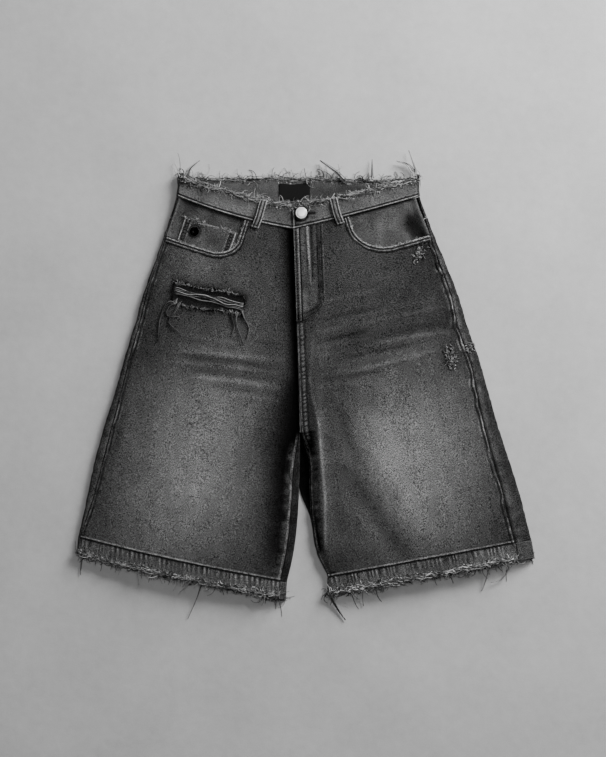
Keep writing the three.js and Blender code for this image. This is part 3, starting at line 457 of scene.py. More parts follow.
# %% [markdown]
# Threads. Loose fibres, frayed yarns and stitches are all thin tubes along short paths. One function
# sweeps many paths at once into one joined mesh, three or four sides each, thinner towards the tip. Hair
# curves would render as well but export badly, so real geometry was chosen.

# %% Thread tubes
def tubes(name, paths, radius, tone, finish, sides=3, tip=0.45):
    """Join many thin tubes, each along its own path, into one mesh."""
    paths = np.asarray(paths, float)
    count, steps = paths.shape[:2]
    tangent = np.gradient(paths, axis=1)
    tangent /= np.maximum(np.linalg.norm(tangent, axis=-1, keepdims=True), 1e-9)
    upright = np.abs(tangent[..., 2:]) > 0.9
    normal = np.cross(tangent, np.where(upright, (1.0, 0, 0), (0, 0, 1.0)))
    normal /= np.linalg.norm(normal, axis=-1, keepdims=True)
    binormal = np.cross(tangent, normal)
    angle = 2 * math.pi * np.arange(sides) / sides
    thick = np.asarray(radius, float).reshape(-1, 1) * np.linspace(1, tip, steps)
    spokes = (np.cos(angle)[:, None] * normal[:, :, None] + np.sin(angle)[:, None] * binormal[:, :, None])
    vertices = paths[:, :, None] + spokes * thick[:, :, None, None]
    index = np.arange(count * steps * sides).reshape(count, steps, sides)
    around = np.roll(index, -1, axis=2)
    quads = np.stack([index[:, :-1], around[:, :-1], around[:, 1:], index[:, 1:]], -1).reshape(-1, 4)
    caps = np.concatenate([index[:, 0, ::-1], index[:, -1]])
    tone = np.repeat(np.broadcast_to(tone, (count,)), steps * sides)
    faces = quads.tolist() + caps.tolist()
    return new_piece(f"{name}_thread", vertices.reshape(-1, 3), faces, tone, np.zeros(len(tone)), finish)


def along(line, share):
    """Points at shares of the length of a line of points."""
    line = np.asarray(line, float)
    run = np.concatenate([[0], np.cumsum(np.linalg.norm(np.diff(line, axis=0), axis=-1))])
    at = np.asarray(share) * run[-1]
    return np.stack([np.interp(at, run, line[:, k]) for k in range(line.shape[1])], -1)


def curve_through(points, steps):
    """A smooth curve through a few points, by the same rule as the sections."""
    points = np.asarray(points, float)
    padded = np.concatenate([[2 * points[0] - points[1]], points, [2 * points[-1] - points[-2]]])
    place = np.linspace(0, len(points) - 1, steps)
    index = np.clip(np.floor(place).astype(int), 0, len(points) - 2)
    part = (place - index)[:, None]
    return curve_between(*(padded[index + step] for step in range(4)), part)


def length_of(line):
    return float(np.linalg.norm(np.diff(line, axis=0), axis=-1).sum())


# %% [markdown]
# Denim's surface. Black-dyed warp yarns run down the cloth and undyed weft shows between them in fine
# slanting lines. Washing wears the warp unevenly, so faded denim looks like salt and pepper. A node group
# makes that grain once, and every cloth material uses it with its own values: slanted twill lines, long
# soft slubs down the cloth, shorter ones across, and slow clouds of uneven dye.

# %% Grain of the cloth as a node group
def place(tree, kind, settings=None, inputs=None):
    """Add a shader node, set its values and wire the sockets that it is given."""
    made = tree.nodes.new("ShaderNode" + kind)
    for name, value in (settings or {}).items():
        setattr(made, name, value)
    for name, value in (inputs or {}).items():
        if isinstance(value, bpy.types.NodeSocket):
            tree.links.new(value, made.inputs[name])
        else:
            made.inputs[name].default_value = value
    return made


def maths(tree, operation, first, second, clamp=False):
    made = place(tree, "Math", {"operation": operation, "use_clamp": clamp}, {0: first, 1: second})
    return made.outputs[0]


def plus(tree, first, second, clamp=False):
    return maths(tree, "ADD", first, second, clamp)


def times(tree, first, second, clamp=False):
    return maths(tree, "MULTIPLY", first, second, clamp)


def grey_color(tree, grey):
    return place(tree, "CombineColor", inputs={"Red": grey, "Green": grey, "Blue": grey}).outputs[0]


def object_place(tree):
    return place(tree, "TexCoord").outputs["Object"]


def waves(tree, where, direction, spacing, shape=None):
    """Parallel lines that lie the given number of millimetres apart."""
    scale = 2 * math.pi / (20 * spacing * MM)
    made = place(tree, "TexWave", {"wave_type": "BANDS", "bands_direction": direction},
                 {"Vector": where, "Scale": scale, **(shape or {})})
    return made.outputs["Fac"]


def speckle(tree, where, size, detail=2.0, rough=0.6):
    """Noise about zero whose lumps have a size in millimetres, or one each along x, y and z."""
    scale = [1 / (s * MM) for s in np.broadcast_to(size, 3)]
    scaled = place(tree, "Mapping", inputs={"Vector": where, "Scale": scale})
    noise = place(tree, "TexNoise", inputs={"Vector": scaled.outputs[0], "Scale": 1.0, "Detail": detail,
                                            "Roughness": rough})
    return maths(tree, "SUBTRACT", noise.outputs["Fac"], 0.5)


def new_group(name, inputs, outputs):
    group = bpy.data.node_groups.new(name, "ShaderNodeTree")
    for label, kind, value in inputs:
        socket = group.interface.new_socket(label, in_out="INPUT", socket_type=kind)
        if value is not None:
            socket.default_value = value
    for label, kind in outputs:
        group.interface.new_socket(label, in_out="OUTPUT", socket_type=kind)
    return group, group.nodes.new("NodeGroupInput"), group.nodes.new("NodeGroupOutput")


# The twill's slant in degrees, and the spacing of twill, twist and satin lines in millimetres
TWILL_ANGLE, TWILL_SPACING, TWIST_SPACING, SATIN_SPACING = 27, 0.9, 0.6, 0.5


def make_denim_grain():
    group, given, result = new_group(
        "denim_grain",
        [("Tone", "NodeSocketFloat", 0.1), ("Worn", "NodeSocketFloat", 0.0),
         ("Grain", "NodeSocketFloat", 1.0), ("Clouds", "NodeSocketFloat", 1.0),
         ("Bare yarn", "NodeSocketFloat", 0.3)],
        [("Color", "NodeSocketColor"), ("Height", "NodeSocketFloat")])
    where = object_place(group)
    turn = (0, 0, math.radians(TWILL_ANGLE))
    slanted = place(group, "Mapping", inputs={"Vector": where, "Rotation": turn})
    twill = waves(group, slanted.outputs[0], "X", TWILL_SPACING,
                  {"Distortion": 1.2, "Detail": 1.0, "Detail Scale": 0.6})
    lines = maths(group, "SUBTRACT", twill, 0.5)
    warp = speckle(group, where, (0.6, 1.5, 1.5), detail=1.0)
    weft = speckle(group, where, (1.3, 0.6, 1.5), detail=1.0)
    clouds = speckle(group, where, (26, 44, 30), detail=1.0)
    streaks = speckle(group, where, (7, 46, 30), detail=0.0)
    pepper = plus(group, times(group, warp, 4.4), times(group, weft, 3.6))
    pepper = plus(group, pepper, times(group, lines, 0.35))
    pepper = times(group, pepper, given.outputs["Grain"])
    slow = plus(group, times(group, clouds, 0.5), times(group, streaks, 0.12))
    slow = times(group, slow, given.outputs["Clouds"])
    varied = maths(group, "MAXIMUM", plus(group, plus(group, pepper, slow), 1.0), 0.45)
    dyed = times(group, given.outputs["Tone"], varied)
    rubbed = times(group, plus(group, pepper, 0.75), given.outputs["Worn"], True)
    grey = plus(group, dyed, times(group, rubbed, given.outputs["Bare yarn"]))
    salt = times(group, times(group, pepper, 0.5), given.outputs["Tone"])
    salt = maths(group, "MINIMUM", times(group, pepper, 0.02), plus(group, salt, 0.0007))
    grey = maths(group, "MAXIMUM", plus(group, grey, salt), 0.0003)
    group.links.new(grey_color(group, grey), result.inputs["Color"])
    height = plus(group, times(group, pepper, 0.4), lines)
    group.links.new(height, result.inputs["Height"])
    return group


DENIM_GRAIN = make_denim_grain()

# %% [markdown]
# The cloth materials. Each one reads the two masks from its mesh, passes them through the grain group and
# feeds a rough Principled shader with a little sheen, which is the cotton's nap. Values that are the same
# all over are set on the shader itself. The waistband is denim too, only cleaner and with finer grain
# where it was pressed; the pocket facings and the inside are less washed.

# %% Cloth materials
def new_finish(name):
    """A new material, its node tree and its Principled shader."""
    finish = bpy.data.materials.new(name)
    finish.use_nodes = True
    return finish, finish.node_tree, finish.node_tree.nodes["Principled BSDF"]


def read_mask(tree, name):
    return place(tree, "Attribute", {"attribute_name": name}).outputs["Fac"]


def dress(tree, shader, color, height, strength, relief, plain):
    """Wire a color and a bump as deep as relief, and set the shader's plain values."""
    bump = place(tree, "Bump", inputs={"Height": height, "Strength": strength, "Distance": relief * MM})
    tree.links.new(color, shader.inputs["Base Color"])
    tree.links.new(bump.outputs[0], shader.inputs["Normal"])
    for socket, value in plain.items():
        shader.inputs[socket].default_value = value


def denim(name, grain, clouds, bare, relief, roughness):
    finish, tree, shader = new_finish(name)
    woven = place(tree, "Group", {"node_tree": DENIM_GRAIN},
                  {"Tone": read_mask(tree, "tone"), "Worn": read_mask(tree, "worn"), "Grain": grain,
                   "Clouds": clouds, "Bare yarn": bare})
    dress(tree, shader, woven.outputs["Color"], woven.outputs["Height"], 0.7, relief,
          {"Roughness": roughness, "Specular IOR Level": 0.01, "Sheen Weight": 0.002,
           "Sheen Roughness": 0.6})
    return finish


FRONT_DENIM = denim("washed_front_denim", 1.05, 1.2, 0.36, 0.13, 0.93)
BACK_DENIM = denim("washed_back_denim", 1.0, 1.2, 0.34, 0.35, 0.95)
BAND_DENIM = denim("waistband_denim", 0.7, 1.6, 0.4, 0.3, 0.92)
INNER_DENIM = denim("inner_denim", 0.7, 1.4, 0.36, 0.25, 0.95)
HEM_DENIM = denim("puckered_hem_denim", 1.0, 1.1, 0.4, 0.35, 0.94)
print("cloth materials use", DENIM_GRAIN.name, "with", len(DENIM_GRAIN.nodes), "nodes")

# %% [markdown]
# Thread and metal. Frayed cotton is pale with darker dyed lengths, and sewing thread is black and slightly
# waxy; both have a twist, which a fine slanted wave gives as bump. The label is a dense black satin weave.
# The shank button is polished nickel. A full mirror would show the dark room above it, so part of its
# shine is a painted reflection: plain white colour, as a lit room would show in it. The stud is
# blackened, in rings cut by its turning.

# %% Thread, label and metal materials
def make_twist():
    group, given, result = new_group(
        "yarn_twist", [("Tone", "NodeSocketFloat", 0.2), ("Mottle", "NodeSocketFloat", 0.5)],
        [("Color", "NodeSocketColor"), ("Height", "NodeSocketFloat")])
    where = object_place(group)
    turned = place(group, "Mapping", inputs={"Vector": where, "Rotation": (0.5, 0.4, 0.8)})
    twist = waves(group, turned.outputs[0], "DIAGONAL", TWIST_SPACING)
    mottle = speckle(group, where, 3)
    varied = plus(group, times(group, mottle, given.outputs["Mottle"]), 0.85)
    varied = plus(group, varied, times(group, twist, 0.3))
    grey = times(group, varied, given.outputs["Tone"])
    group.links.new(grey_color(group, grey), result.inputs["Color"])
    group.links.new(twist, result.inputs["Height"])
    return group


YARN_TWIST = make_twist()


def yarn(name, mottle, relief, roughness):
    finish, tree, shader = new_finish(name)
    tone = read_mask(tree, "tone")
    twist = place(tree, "Group", {"node_tree": YARN_TWIST}, {"Tone": tone, "Mottle": mottle})
    dress(tree, shader, twist.outputs["Color"], twist.outputs["Height"], 0.6, relief,
          {"Roughness": roughness, "Specular IOR Level": 0.3})
    return finish


FRAY_YARN = yarn("frayed_cotton", 1.2, 0.15, 0.92)
SEWING_THREAD = yarn("black_sewing_thread", 0.8, 0.1, 0.62)


def metal(name, color, roughness, scratches, dent, metallic=1.0):
    """Metal with fine wear: small dents in the height, and gloss that varies over the surface."""
    finish, tree, shader = new_finish(name)
    wear = speckle(tree, object_place(tree), dent, detail=5.0)
    soil = plus(tree, times(tree, wear, 0.25), color, True)
    dress(tree, shader, grey_color(tree, soil), wear, 0.25, 0.05, {"Metallic": metallic})
    tree.links.new(plus(tree, times(tree, wear, scratches), roughness), shader.inputs["Roughness"])
    return finish


# The button's lower metallic value makes part of its white a painted reflection.
NICKEL_PAINTED_WHITE = metal("polished_nickel_painted_white", 1.0, 0.36, 0.05, 1.5, metallic=0.55)
BLACK_METAL = metal("blackened_metal", -0.01, 0.45, 0.2, 3)


def make_label_satin():
    finish, tree, shader = new_finish("black_label_satin")
    where = object_place(tree)
    ribs = waves(tree, where, "Y", SATIN_SPACING, {"Distortion": 0.4})
    lint = speckle(tree, where, 0.8, detail=3.0)
    grey = plus(tree, times(tree, lint, 0.01), 0.005)
    dress(tree, shader, grey_color(tree, grey), ribs, 0.5, 0.12,
          {"Roughness": 0.75, "Specular IOR Level": 0.12})
    return finish


LABEL_SATIN = make_label_satin()
print("materials:", sorted(m.name for m in bpy.data.materials))

# %% [markdown]
# The wash. Worn-in shorts wash out most on the thighs, where they stretch over the legs, and stay dark
# along the seams, inseams and under the hips. The tone of a spot is a dark base plus a few wide soft
# patches, times a darkening that depends on how near the seams are. Beside the fly and along the inseams
# that darkening is partly painted shade, and below the crotch it is painted shade.

# %% How pale the cloth is
# Each row: x, y, reach across, reach down, tone
FADED_PATCHES = np.array([
    (-165, -110, 92, 125, 0.132),
    (-235, -205, 75, 75, 0.06),
    (-150, -25, 70, 40, 0.025),
    (-172, 182, 48, 34, 0.048),
    (-90, 150, 36, 50, 0.018),
    (-100, 60, 60, 45, 0.018),
    (160, -130, 95, 130, 0.13),
    (115, -70, 55, 60, 0.05),
    (150, 60, 70, 40, 0.006),
    (60, 190, 50, 40, 0.012),
    (25, 50, 22, 70, 0.022),
])
BASE_TONE = 0.031


def wash(x, y):
    tone = BASE_TONE - 0.007 * smooth((x - 110) / 60)
    for at_x, at_y, reach_x, reach_y, strength in FADED_PATCHES:
        tone += strength * np.exp(-((x - at_x) / reach_x) ** 2 - ((y - at_y) / reach_y) ** 2)
    return tone


# %% [markdown]
# Seams. Where two panels are sewn, the cloth rolls into a low ridge that rubs pale, the stitch line pulls
# a groove beside it, and the thread's tension gathers short puckers. These three effects are functions of
# the distance to the seam and the run along it, so that every seam of every panel shares them.

# %% Ridges, grooves and puckers
def seam_height(distance, ridge=0.5, groove=0.7):
    """Millimetres that cloth rises beside a seam at distance 0."""
    risen = ridge * bell(distance - 2.2, 1.3) - groove * bell(distance, 0.9)
    return risen - 0.25 * bell(distance - 4.6, 0.8)


def seam_worn(distance):
    return bell(distance - 2.4, 1.2)


def seam_shade(distance, depth=0.85, width=1.3):
    """How much of the tone is left in the stitched groove at distance 0."""
    return 1 - depth * bell(distance, width)


def pucker(run, distance, length, reach, seed):
    """Short uneven gathers across a seam, strongest beside it."""
    gathers = wavy(run, length, seed) + 0.6 * wavy(run, length * 0.45, seed + 1)
    return gathers * np.exp(-np.maximum(distance, 0) / reach)


def run_of_rows(half, rows, share):
    """Distance down a half at a share of its width, for rows from the waist seam."""
    x, y = plan_point(section_at(half, rows), section_at(half, rows)["width"] * share)
    return np.concatenate([[0], np.cumsum(np.hypot(np.diff(x), np.diff(y)))])


# %% [markdown]
# Holes in the cloth. The pocket mouths are cut out of the fronts, and the left thigh has a rip. A hole is
# made by dropping the grid's cells inside an outline and pulling the points round it onto the line, which
# keeps the sheet a clean grid. A boolean would also cut, but not an open sheet, reliably.

# %% Cut holes in a sheet
def inside(outline, x, y):
    """Whether places lie inside a closed outline, by counting the sides to their right."""
    within = np.zeros(np.shape(x), bool)
    for (x0, y0), (x1, y1) in zip(outline, np.roll(outline, -1, axis=0)):
        crosses = (y0 > y) != (y1 > y)
        at = x0 + (y - y0) / np.where(y1 == y0, 1e-9, y1 - y0) * (x1 - x0)
        within ^= crosses & (x < at)
    return within


def cut_hole(points, within, outline):
    """Drop the cells inside a hole and pull the points round it onto its outline."""
    corners = np.stack([within[:-1, :-1], within[:-1, 1:], within[1:, 1:], within[1:, :-1]], -1)
    keep = ~corners.all(-1)
    for row, column in zip(*np.nonzero(within)):
        near = keep[max(row - 1, 0):row + 1, max(column - 1, 0):column + 1]
        if near.any():
            away = np.hypot(*(outline - points[row, column, :2]).T)
            points[row, column, :2] = outline[away.argmin()]
    return keep


def fine_outline(corners, step=0.4):
    """A closed outline with points a short step apart."""
    closed = np.vstack([corners, corners[:1]])
    count = int(length_of(closed) / step)
    return along(closed, np.linspace(0, 1, count, endpoint=False))


def scoop_edge(scoop, inward):
    """Row of a pocket mouth's lower edge at a distance in from the side fold."""
    past = np.clip((inward - (scoop["width"] - scoop["corner"])) / scoop["corner"], 0, 1)
    return scoop["depth"] - scoop["drop"] * (1 - np.sqrt(1 - past ** 2))


def scoop_line(scoop, steps=160):
    """The pocket mouth's edge in plan, from the waist seam round to the side seam."""
    start = float(section_at(scoop["half"], scoop["depth"])["side"])
    angle = np.linspace(0, math.pi / 2, steps // 2)
    turn_in = scoop["width"] - scoop["corner"] * (1 - np.cos(angle))
    turn_row = scoop["depth"] - scoop["drop"] * (1 - np.sin(angle))
    inward = np.concatenate([[scoop["width"]], turn_in, np.linspace(turn_in[-1], start, steps // 2)[1:]])
    rows = np.concatenate([[WAIST_SEAM], turn_row, np.full(steps // 2 - 1, scoop["depth"])])
    x, y = plan_point(section_at(scoop["half"], rows), inward)
    return along(np.stack([x, y], -1), np.linspace(0, 1, steps))


RIP = np.array([(-197, 154), (-178, 149), (-149, 143), (-120, 140.5), (-93, 132), (-94, 118), (-98, 105),
                (-121, 112.5), (-149, 114), (-178, 118.5), (-199, 127), (-201, 140)], float)

# %% [markdown]
# The front panels. Each runs from the side seam to the centre front and, below the crotch, to the inseam.
# The grid is fine beside its four seams, where ridges and puckers are a millimetre or two wide, and
# coarser between them.

# %% Front panels
def front_grid(half):
    """Rows and distances in from the side fold for every point of a front panel."""
    many = np.linspace(WAIST_SEAM, HEM_SEAM, 400)
    run = run_of_rows(half, many, 0.5)
    rows = np.interp(stations(run[-1], 0.8, 2.7, 8) * run[-1], run, many)
    rows = np.clip(rows, WAIST_SEAM + 0.01, HEM_SEAM - 0.01)
    section = section_at(half, rows)
    start = section["side"] + SEAM / 2
    stop = section["reach"] - np.maximum(section["inseam"], 0) - SEAM / 2
    across = stations(280, 0.8, 2.6, 9)
    inward = lerp(start[:, None], stop[:, None], across[None, :])
    return np.broadcast_to(rows[:, None], inward.shape), inward, start, stop


def crotch_painted_shade(x, y):
    """Painted shade where the cloth sinks out of sight below the crotch."""
    return np.exp(-((x + 4) / 17) ** 4) * smooth((-64 - y) / 5) * (1 - smooth((-92 - y) / 18))


def left_valley_dye_and_shade(y, from_inner):
    """Painted shade, partly unfaded dye, of the valley beside the fly, which widens down the inside of the
    left leg.
    """
    reach = np.interp(y, (-240, -90, -55, 15, 200), (40, 60, 58, 18, 19))
    depth = np.interp(y, (-285, -240, -100, 300), (0.3, 0.88, 0.985, 0.99))
    beside_seam = (1 - smooth((from_inner - 6) / 9)) * smooth((-80 - y) / 20)
    return depth * np.exp(-(np.maximum(from_inner, 0) / reach) ** 2.4) * (1 - 0.8 * beside_seam)


def right_inseam_dye_and_shade(x, y):
    """Deep painted shade, partly unfaded dye, along the inside of the right leg."""
    high = bell(crease_distance(x, y, (3, -80), (7, -190)), 5.5)
    return np.maximum(high, bell(crease_distance(x, y, (9, -185), (20, -245)), 4.5))


def placket(from_inner, run, rise, seed):
    """Tone left and wear of the stitched strip beside the centre front."""
    gathers = 0.55 + 0.45 * wavy(run, 3, seed + 13)
    ladder = rungs(run + wavy(run, 7, seed + 14), 4.6)
    tone = 1 - 0.97 * rise * bell(from_inner - 4.2, 1.6) * gathers
    tone *= 1 - 0.97 * rise * bell(from_inner - 11.4, 1.6) * (0.4 + 0.6 * ladder)
    tone *= 1 - 0.8 * rise * (1 - ladder) * bell(from_inner - 7.8, 2.6)
    worn = rise * 0.9 * bell(from_inner - 1.2, 1.4) * gathers
    return tone, worn + rise * 0.6 * bell(from_inner - 7.8, 2.4) * ladder


def torn_edge(outline):
    """An outline whose edge wanders like torn cloth."""
    fine = fine_outline(outline)
    return fine + 1.7 * np.stack([uneven(*fine.T, size, seed) for size, seed in ((4, 71), (3, 72))], -1)


def shade_round_rip(tone, x, y, outline, seed):
    """Painted shade in an uneven halo round the rip, darkening the cloth there."""
    near = np.hypot(x + 150, y - 130) < 75
    rim = np.hypot(x[near][:, None] - outline[::3, 0], y[near][:, None] - outline[::3, 1]).min(1)
    halo = 5.5 + 3 * uneven(x[near], y[near], 9, seed)
    tone[near] *= 1 - 0.98 * np.exp(-(rim / np.maximum(halo, 2)) ** 1.5)


# Each row: x, y and reach of the darkened ground under one tangle of yarn; the darkening is painted shade.
TUFT_SHADE_SPOTS = ((215, 41, 11), (244, 56, 6), (170, 199, 8))


def front_panel(name, half, side, scoop, rip, seed):
    """A front panel with its creases, seams, wash and painted shade, its pocket mouth cut out and perhaps
    a rip.
    """
    rows, inward, start, stop = front_grid(half)
    smooth_points = top_point(half, rows, inward)
    x, y = plan_of(smooth_points)
    run = run_of_rows(half, rows[:, 0], 0.5)[:, None] + 0 * inward
    from_side, from_inner = inward - start[:, None], stop[:, None] - inward
    from_waist, from_hem = run, run[-1:] - run
    below = smooth((rows - CROTCH_ROW) * 2)
    height = crease_sum(x, y, FINE_CREASES, "height")
    height += 0.45 * uneven(x, y, 34, seed) + 0.12 * uneven(x, y, 9, seed + 1)
    height += seam_height(from_side) + seam_height(from_hem, 0.9, 1.0)
    height += pucker(run, from_side, 7, 7, seed + 2) * 0.7
    height += pucker(run, from_inner, 8, 9, seed + 4) * (0.4 + 0.8 * below)
    height += pucker(inward, from_waist, 6, 5, seed + 6) * 0.35
    height += pucker(inward, from_hem, 4, 5, seed + 8) * 0.45
    height += seam_height(from_inner, 0.4, 0.8) * below
    # Painted shade, partly unfaded dye, down the inside of each leg and beside the fly.
    shade = 0.96 * right_inseam_dye_and_shade(x, y)
    if half is LEFT:
        shade = left_valley_dye_and_shade(y, from_inner)
        height -= 2.6 * bell(from_inner - 5, 8) * (1 - below) * smooth(from_inner / 3)
    # Along the creases: pale on the ridges is rubbed wear, dark in the troughs is painted shade.
    crease_wear_and_shade = 2.5 * crease_sum(x, y, FINE_CREASES, "fade") + 1.7 * crease_sum(x, y, BIG_FOLDS, "fade")
    tone = wash(x, y) * np.maximum(1 + crease_wear_and_shade, 0.1) * (1 + 0.12 * uneven(x, y, 26, seed + 15))
    tone *= (1 - (0.3 if half is RIGHT else 0) * bell(from_side, 16)) * (1 - shade)
    # Darker just below the waist seam: painted shade under the waistband's edge.
    tone *= seam_shade(from_hem, 0.9) * (1 - 0.5 * bell(from_waist, 2.5))
    # Painted shade below the crotch.
    tone *= 1 - 0.99 * crotch_painted_shade(x, y)
    dashes = 0.7 + 0.3 * wavy(run, 3, seed + 9)
    from_side += (2.2 if half is RIGHT else 0.8) * wavy(run, 15, seed + 33)
    tone *= (1 - 0.96 * bell(from_side - 4.6, 1.6) * dashes) * seam_shade(from_side + 0.3, 0.9, 1.0)
    rubbed = 0.55 + 0.45 * uneven(run, inward, 5, seed + 10)
    broken = np.clip(0.25 + 0.9 * wavy(run, 7, seed + 12), 0, 1)
    worn = bell(from_side - 1.7, 1.2) * 0.75 * rubbed * (0.25 + 0.75 * broken)
    worn += bell(from_side - 7.4, 1.2) * 0.35 * rubbed * broken
    worn += seam_worn(from_inner) * below * rubbed * (0.25 if half is RIGHT else 0.7)
    # Painted shade in short gathers beside the inseams, below the crotch.
    inseam_pucker_shade = np.clip(1.6 * wavy(run, 4.5, seed + 31), 0, 1)
    tone *= 1 - 0.8 * inseam_pucker_shade * bell(from_inner - 9, 4.5) * below
    worn += bell(from_hem - 2.0, 1.0) * (0.55 + 0.4 * wavy(inward, 3, seed + 11))
    points = raised(smooth_points, side, height)
    keep = np.ones(np.array(rows.shape) - 1, bool)
    mouth = (inward < scoop["width"]) & (rows < scoop_edge(scoop, inward))
    edge = np.vstack([along(scoop_line(scoop), np.linspace(0, 1, 500)), points[0, :, :2]])
    keep &= cut_hole(points, mouth, edge)
    if rip is not None:
        torn = torn_edge(rip)
        keep &= cut_hole(points, inside(torn, *plan_of(points)), torn)
        shade_round_rip(tone, x, y, torn, seed + 21)
    if half is RIGHT:
        rise = smooth((rows - FLY["row"]) * 8) * (1 - below)
        left_tone, rubbed_pale = placket(from_inner, run, rise, seed)
        tone *= left_tone
        worn += rubbed_pale
        # Painted shade under the tangles of yarn on the right leg.
        for spot_x, spot_y, reach in TUFT_SHADE_SPOTS:
            near = bell(np.hypot(x - spot_x, (y - spot_y) * 0.7), reach)
            tone *= 1 - 0.95 * near
    piece = cloth(name, points, side, CLOTH, tone, worn, FRONT_DENIM, keep)
    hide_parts(name)
    return piece, cut_size(smooth_points, keep)


def crease_distance(x, y, start, stop):
    """Distance of places from the stretch between two points."""
    along_x, along_y = stop[0] - start[0], stop[1] - start[1]
    share = ((x - start[0]) * along_x + (y - start[1]) * along_y) / (along_x ** 2 + along_y ** 2)
    share = np.clip(share, 0, 1)
    return np.hypot(x - start[0] - share * along_x, y - start[1] - share * along_y)


front_left = front_panel("front_panel_left", LEFT, -1, SCOOPS["left"], RIP, 100)
front_right = front_panel("front_panel_right", RIGHT, 1, SCOOPS["right"], None, 200)

# %% [markdown]
# The backs and yokes. They wrap round the side folds to the side seams, so a strip of them shows along
# both sides and along the left inseam. Under the shorts they lie flat. The backs get the same puckers at
# the seams where they show, and the yokes are slightly uneven.

# %% Backs and yokes
def yoke_row(station):
    return lerp(1.75, 2.75, np.clip(under_share(station), 0, 1))


def shown_from_above(station):
    """1 where the back wraps into sight, 0 underneath."""
    return 1 - smooth((station - 0.28) / 0.08) + smooth((station - 0.82) / 0.1)


def back_stations(count):
    """Stations round the back: closer where the cloth turns."""
    marks, weights = (0, TO_FOLD, ROUND_FOLD, TO_INNER, 1), (0.13, 0.14, 0.4, 0.33)
    parts = [np.linspace(low, high, max(4, int(count * share)), endpoint=False)
             for low, high, share in zip(marks[:-1], marks[1:], weights)]
    return np.concatenate([*parts, [1.0]])


def back_tone(points, rows, station, seed):
    """The back is dark at the seams, and its floor side is paler over the seat and calves."""
    x, y = plan_of(points)
    seam = np.interp(x, (-60, -45, -4, 8, 95, 105), (0.046, 0.016, 0.016, 0.046, 0.046, 0.026))
    seam *= 1 + 0.4 * uneven(x, y, 12, seed)
    under = smooth((station - 0.4) / 0.1) * (1 - smooth((station - 0.78) / 0.1))
    seat = wash(x, y) * 0.9 + 0.02
    return lerp(seam, seat, under) * (1 - 0.3 * bell(rows - HEM_SEAM, 0.02))


def back_panel(name, half, side, seed):
    station = back_stations(72)
    start = yoke_row(station) + 0.01
    shares = stations(470, 1.5, 4.2, 6)
    rows = lerp(start[None, :], HEM_SEAM - 0.01, shares[:, None])
    points = back_point(half, rows, station[None, :] + 0 * rows)
    run = run_of_rows(half, rows[:, 0], 0.1)[:, None] + 0 * rows
    shown = shown_from_above(station)
    height = pucker(run, 0 * run, 8, 9, seed) * 0.55 * shown - 0.3
    tone = back_tone(points, rows, station[None, :], seed + 3)
    worn = 0.22 * bell(station - 0.03, 0.035) * (0.5 + 0.5 * uneven(run, rows, 5, seed + 5)) * shown
    piece = cloth(name, raised(points, side, height), side, CLOTH, tone, worn, BACK_DENIM)
    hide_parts(name)
    return piece, cut_size(points)


def yoke(name, half, side, seed):
    station = back_stations(80)
    shares = np.linspace(0, 1, 26)
    rows = lerp(WAIST_SEAM + 0.01, yoke_row(station)[None, :] - 0.01, shares[:, None])
    points = back_point(half, rows, station[None, :] + 0 * rows)
    height = 0.2 * uneven(points[..., 0], points[..., 1], 12, seed) - 0.3
    tone = back_tone(points, rows, station[None, :], seed)
    worn = 0.3 * bell((shares[:, None] - 0.97), 0.03) + 0 * rows
    piece = cloth(name, raised(points, side, height), side, CLOTH, tone, worn, BACK_DENIM)
    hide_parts(name)
    return piece, cut_size(points)


back_left = back_panel("back_panel_left", LEFT, 1, 300)
back_right = back_panel("back_panel_right", RIGHT, -1, 320)
yoke_left = yoke("yoke_left", LEFT, 1, 340)
yoke_right = yoke("yoke_right", RIGHT, -1, 350)

# %% [markdown]
# Between the legs the back's rise hangs lower than the front's, because it is cut longer to sit over the
# seat. Its fold shows under the crotch as a narrow tongue of cloth. The tongue's near-black colour is
# painted shade, and it pales towards its lower end as painted shadow fading out.

# %% Fold of the back's rise, coloured with painted shade
def rise_fold_in_painted_shade():
    down = np.linspace(0, 1, 60)
    y = lerp(-70, -205, down)[:, None]
    shown = np.linspace(-60, -300, 300)
    rows = rows_at(LEFT, np.full(300, -10.0), shown)
    left_edge = np.interp(-y, -shown, section_at(LEFT, rows)["inner_x"])
    rows = rows_at(RIGHT, np.full(300, 4.0), shown)
    right_edge = np.interp(-y, -shown, section_at(RIGHT, rows)["inner_x"])
    share = np.linspace(0, 1, 16)[None, :]
    wide = (right_edge - left_edge + 2.8) * (1 - 0.92 * smooth((down[:, None] - 0.55) / 0.45))
    x = right_edge + 1.4 - wide * (1 - share)
    z = 1.6 + 0.5 * uneven(x, y, 9, 480) + 0 * x
    points = np.stack([x, y + 0 * x, z], -1)
    # Near black as painted shade, paler towards the lower end as painted shadow fading out.
    shade = smooth((down[:, None] - 0.6) / 0.4) * (1 - share)
    piece = cloth("back_rise_fold_painted_shade", points, -1, 0.9, 0.003 + 0.03 * shade, 0 * z, BACK_DENIM)
    return piece, cut_size(points)


rise_fold_shade_sheet = rise_fold_in_painted_shade()

# %% [markdown]
# The waistband. It is one long double strip on the real pair, folded at the sides where it turns to the
# back. Its lower edge is topstitched: a pale rubbed ridge with a dark groove above it. Its upper edge is
# cut raw and wanders by a few millimetres, and the back stands higher than the front, so its inside shows.

# %% Waistband
def ragged_edge(seed, reach, fine):
    """A raw edge in rows: slow wandering with small nicks on it."""
    def edge(share):
        along_edge = np.asarray(share) * 180
        return reach * wavy(along_edge, 14, seed) + fine * wavy(along_edge, 2.2, seed + 1)
    return edge


BUTTON_AT = (-8, 256)
RAGGED = {"left": ragged_edge(3, 0.045, 0.02), "right": ragged_edge(4, 0.045, 0.02),
          "back": ragged_edge(5, 0.03, 0.015)}


def band_points(half, share, rows):
    section = section_at(half, rows)
    return top_point(half, rows, lerp(section["side"] + SEAM / 2, section["reach"], share))


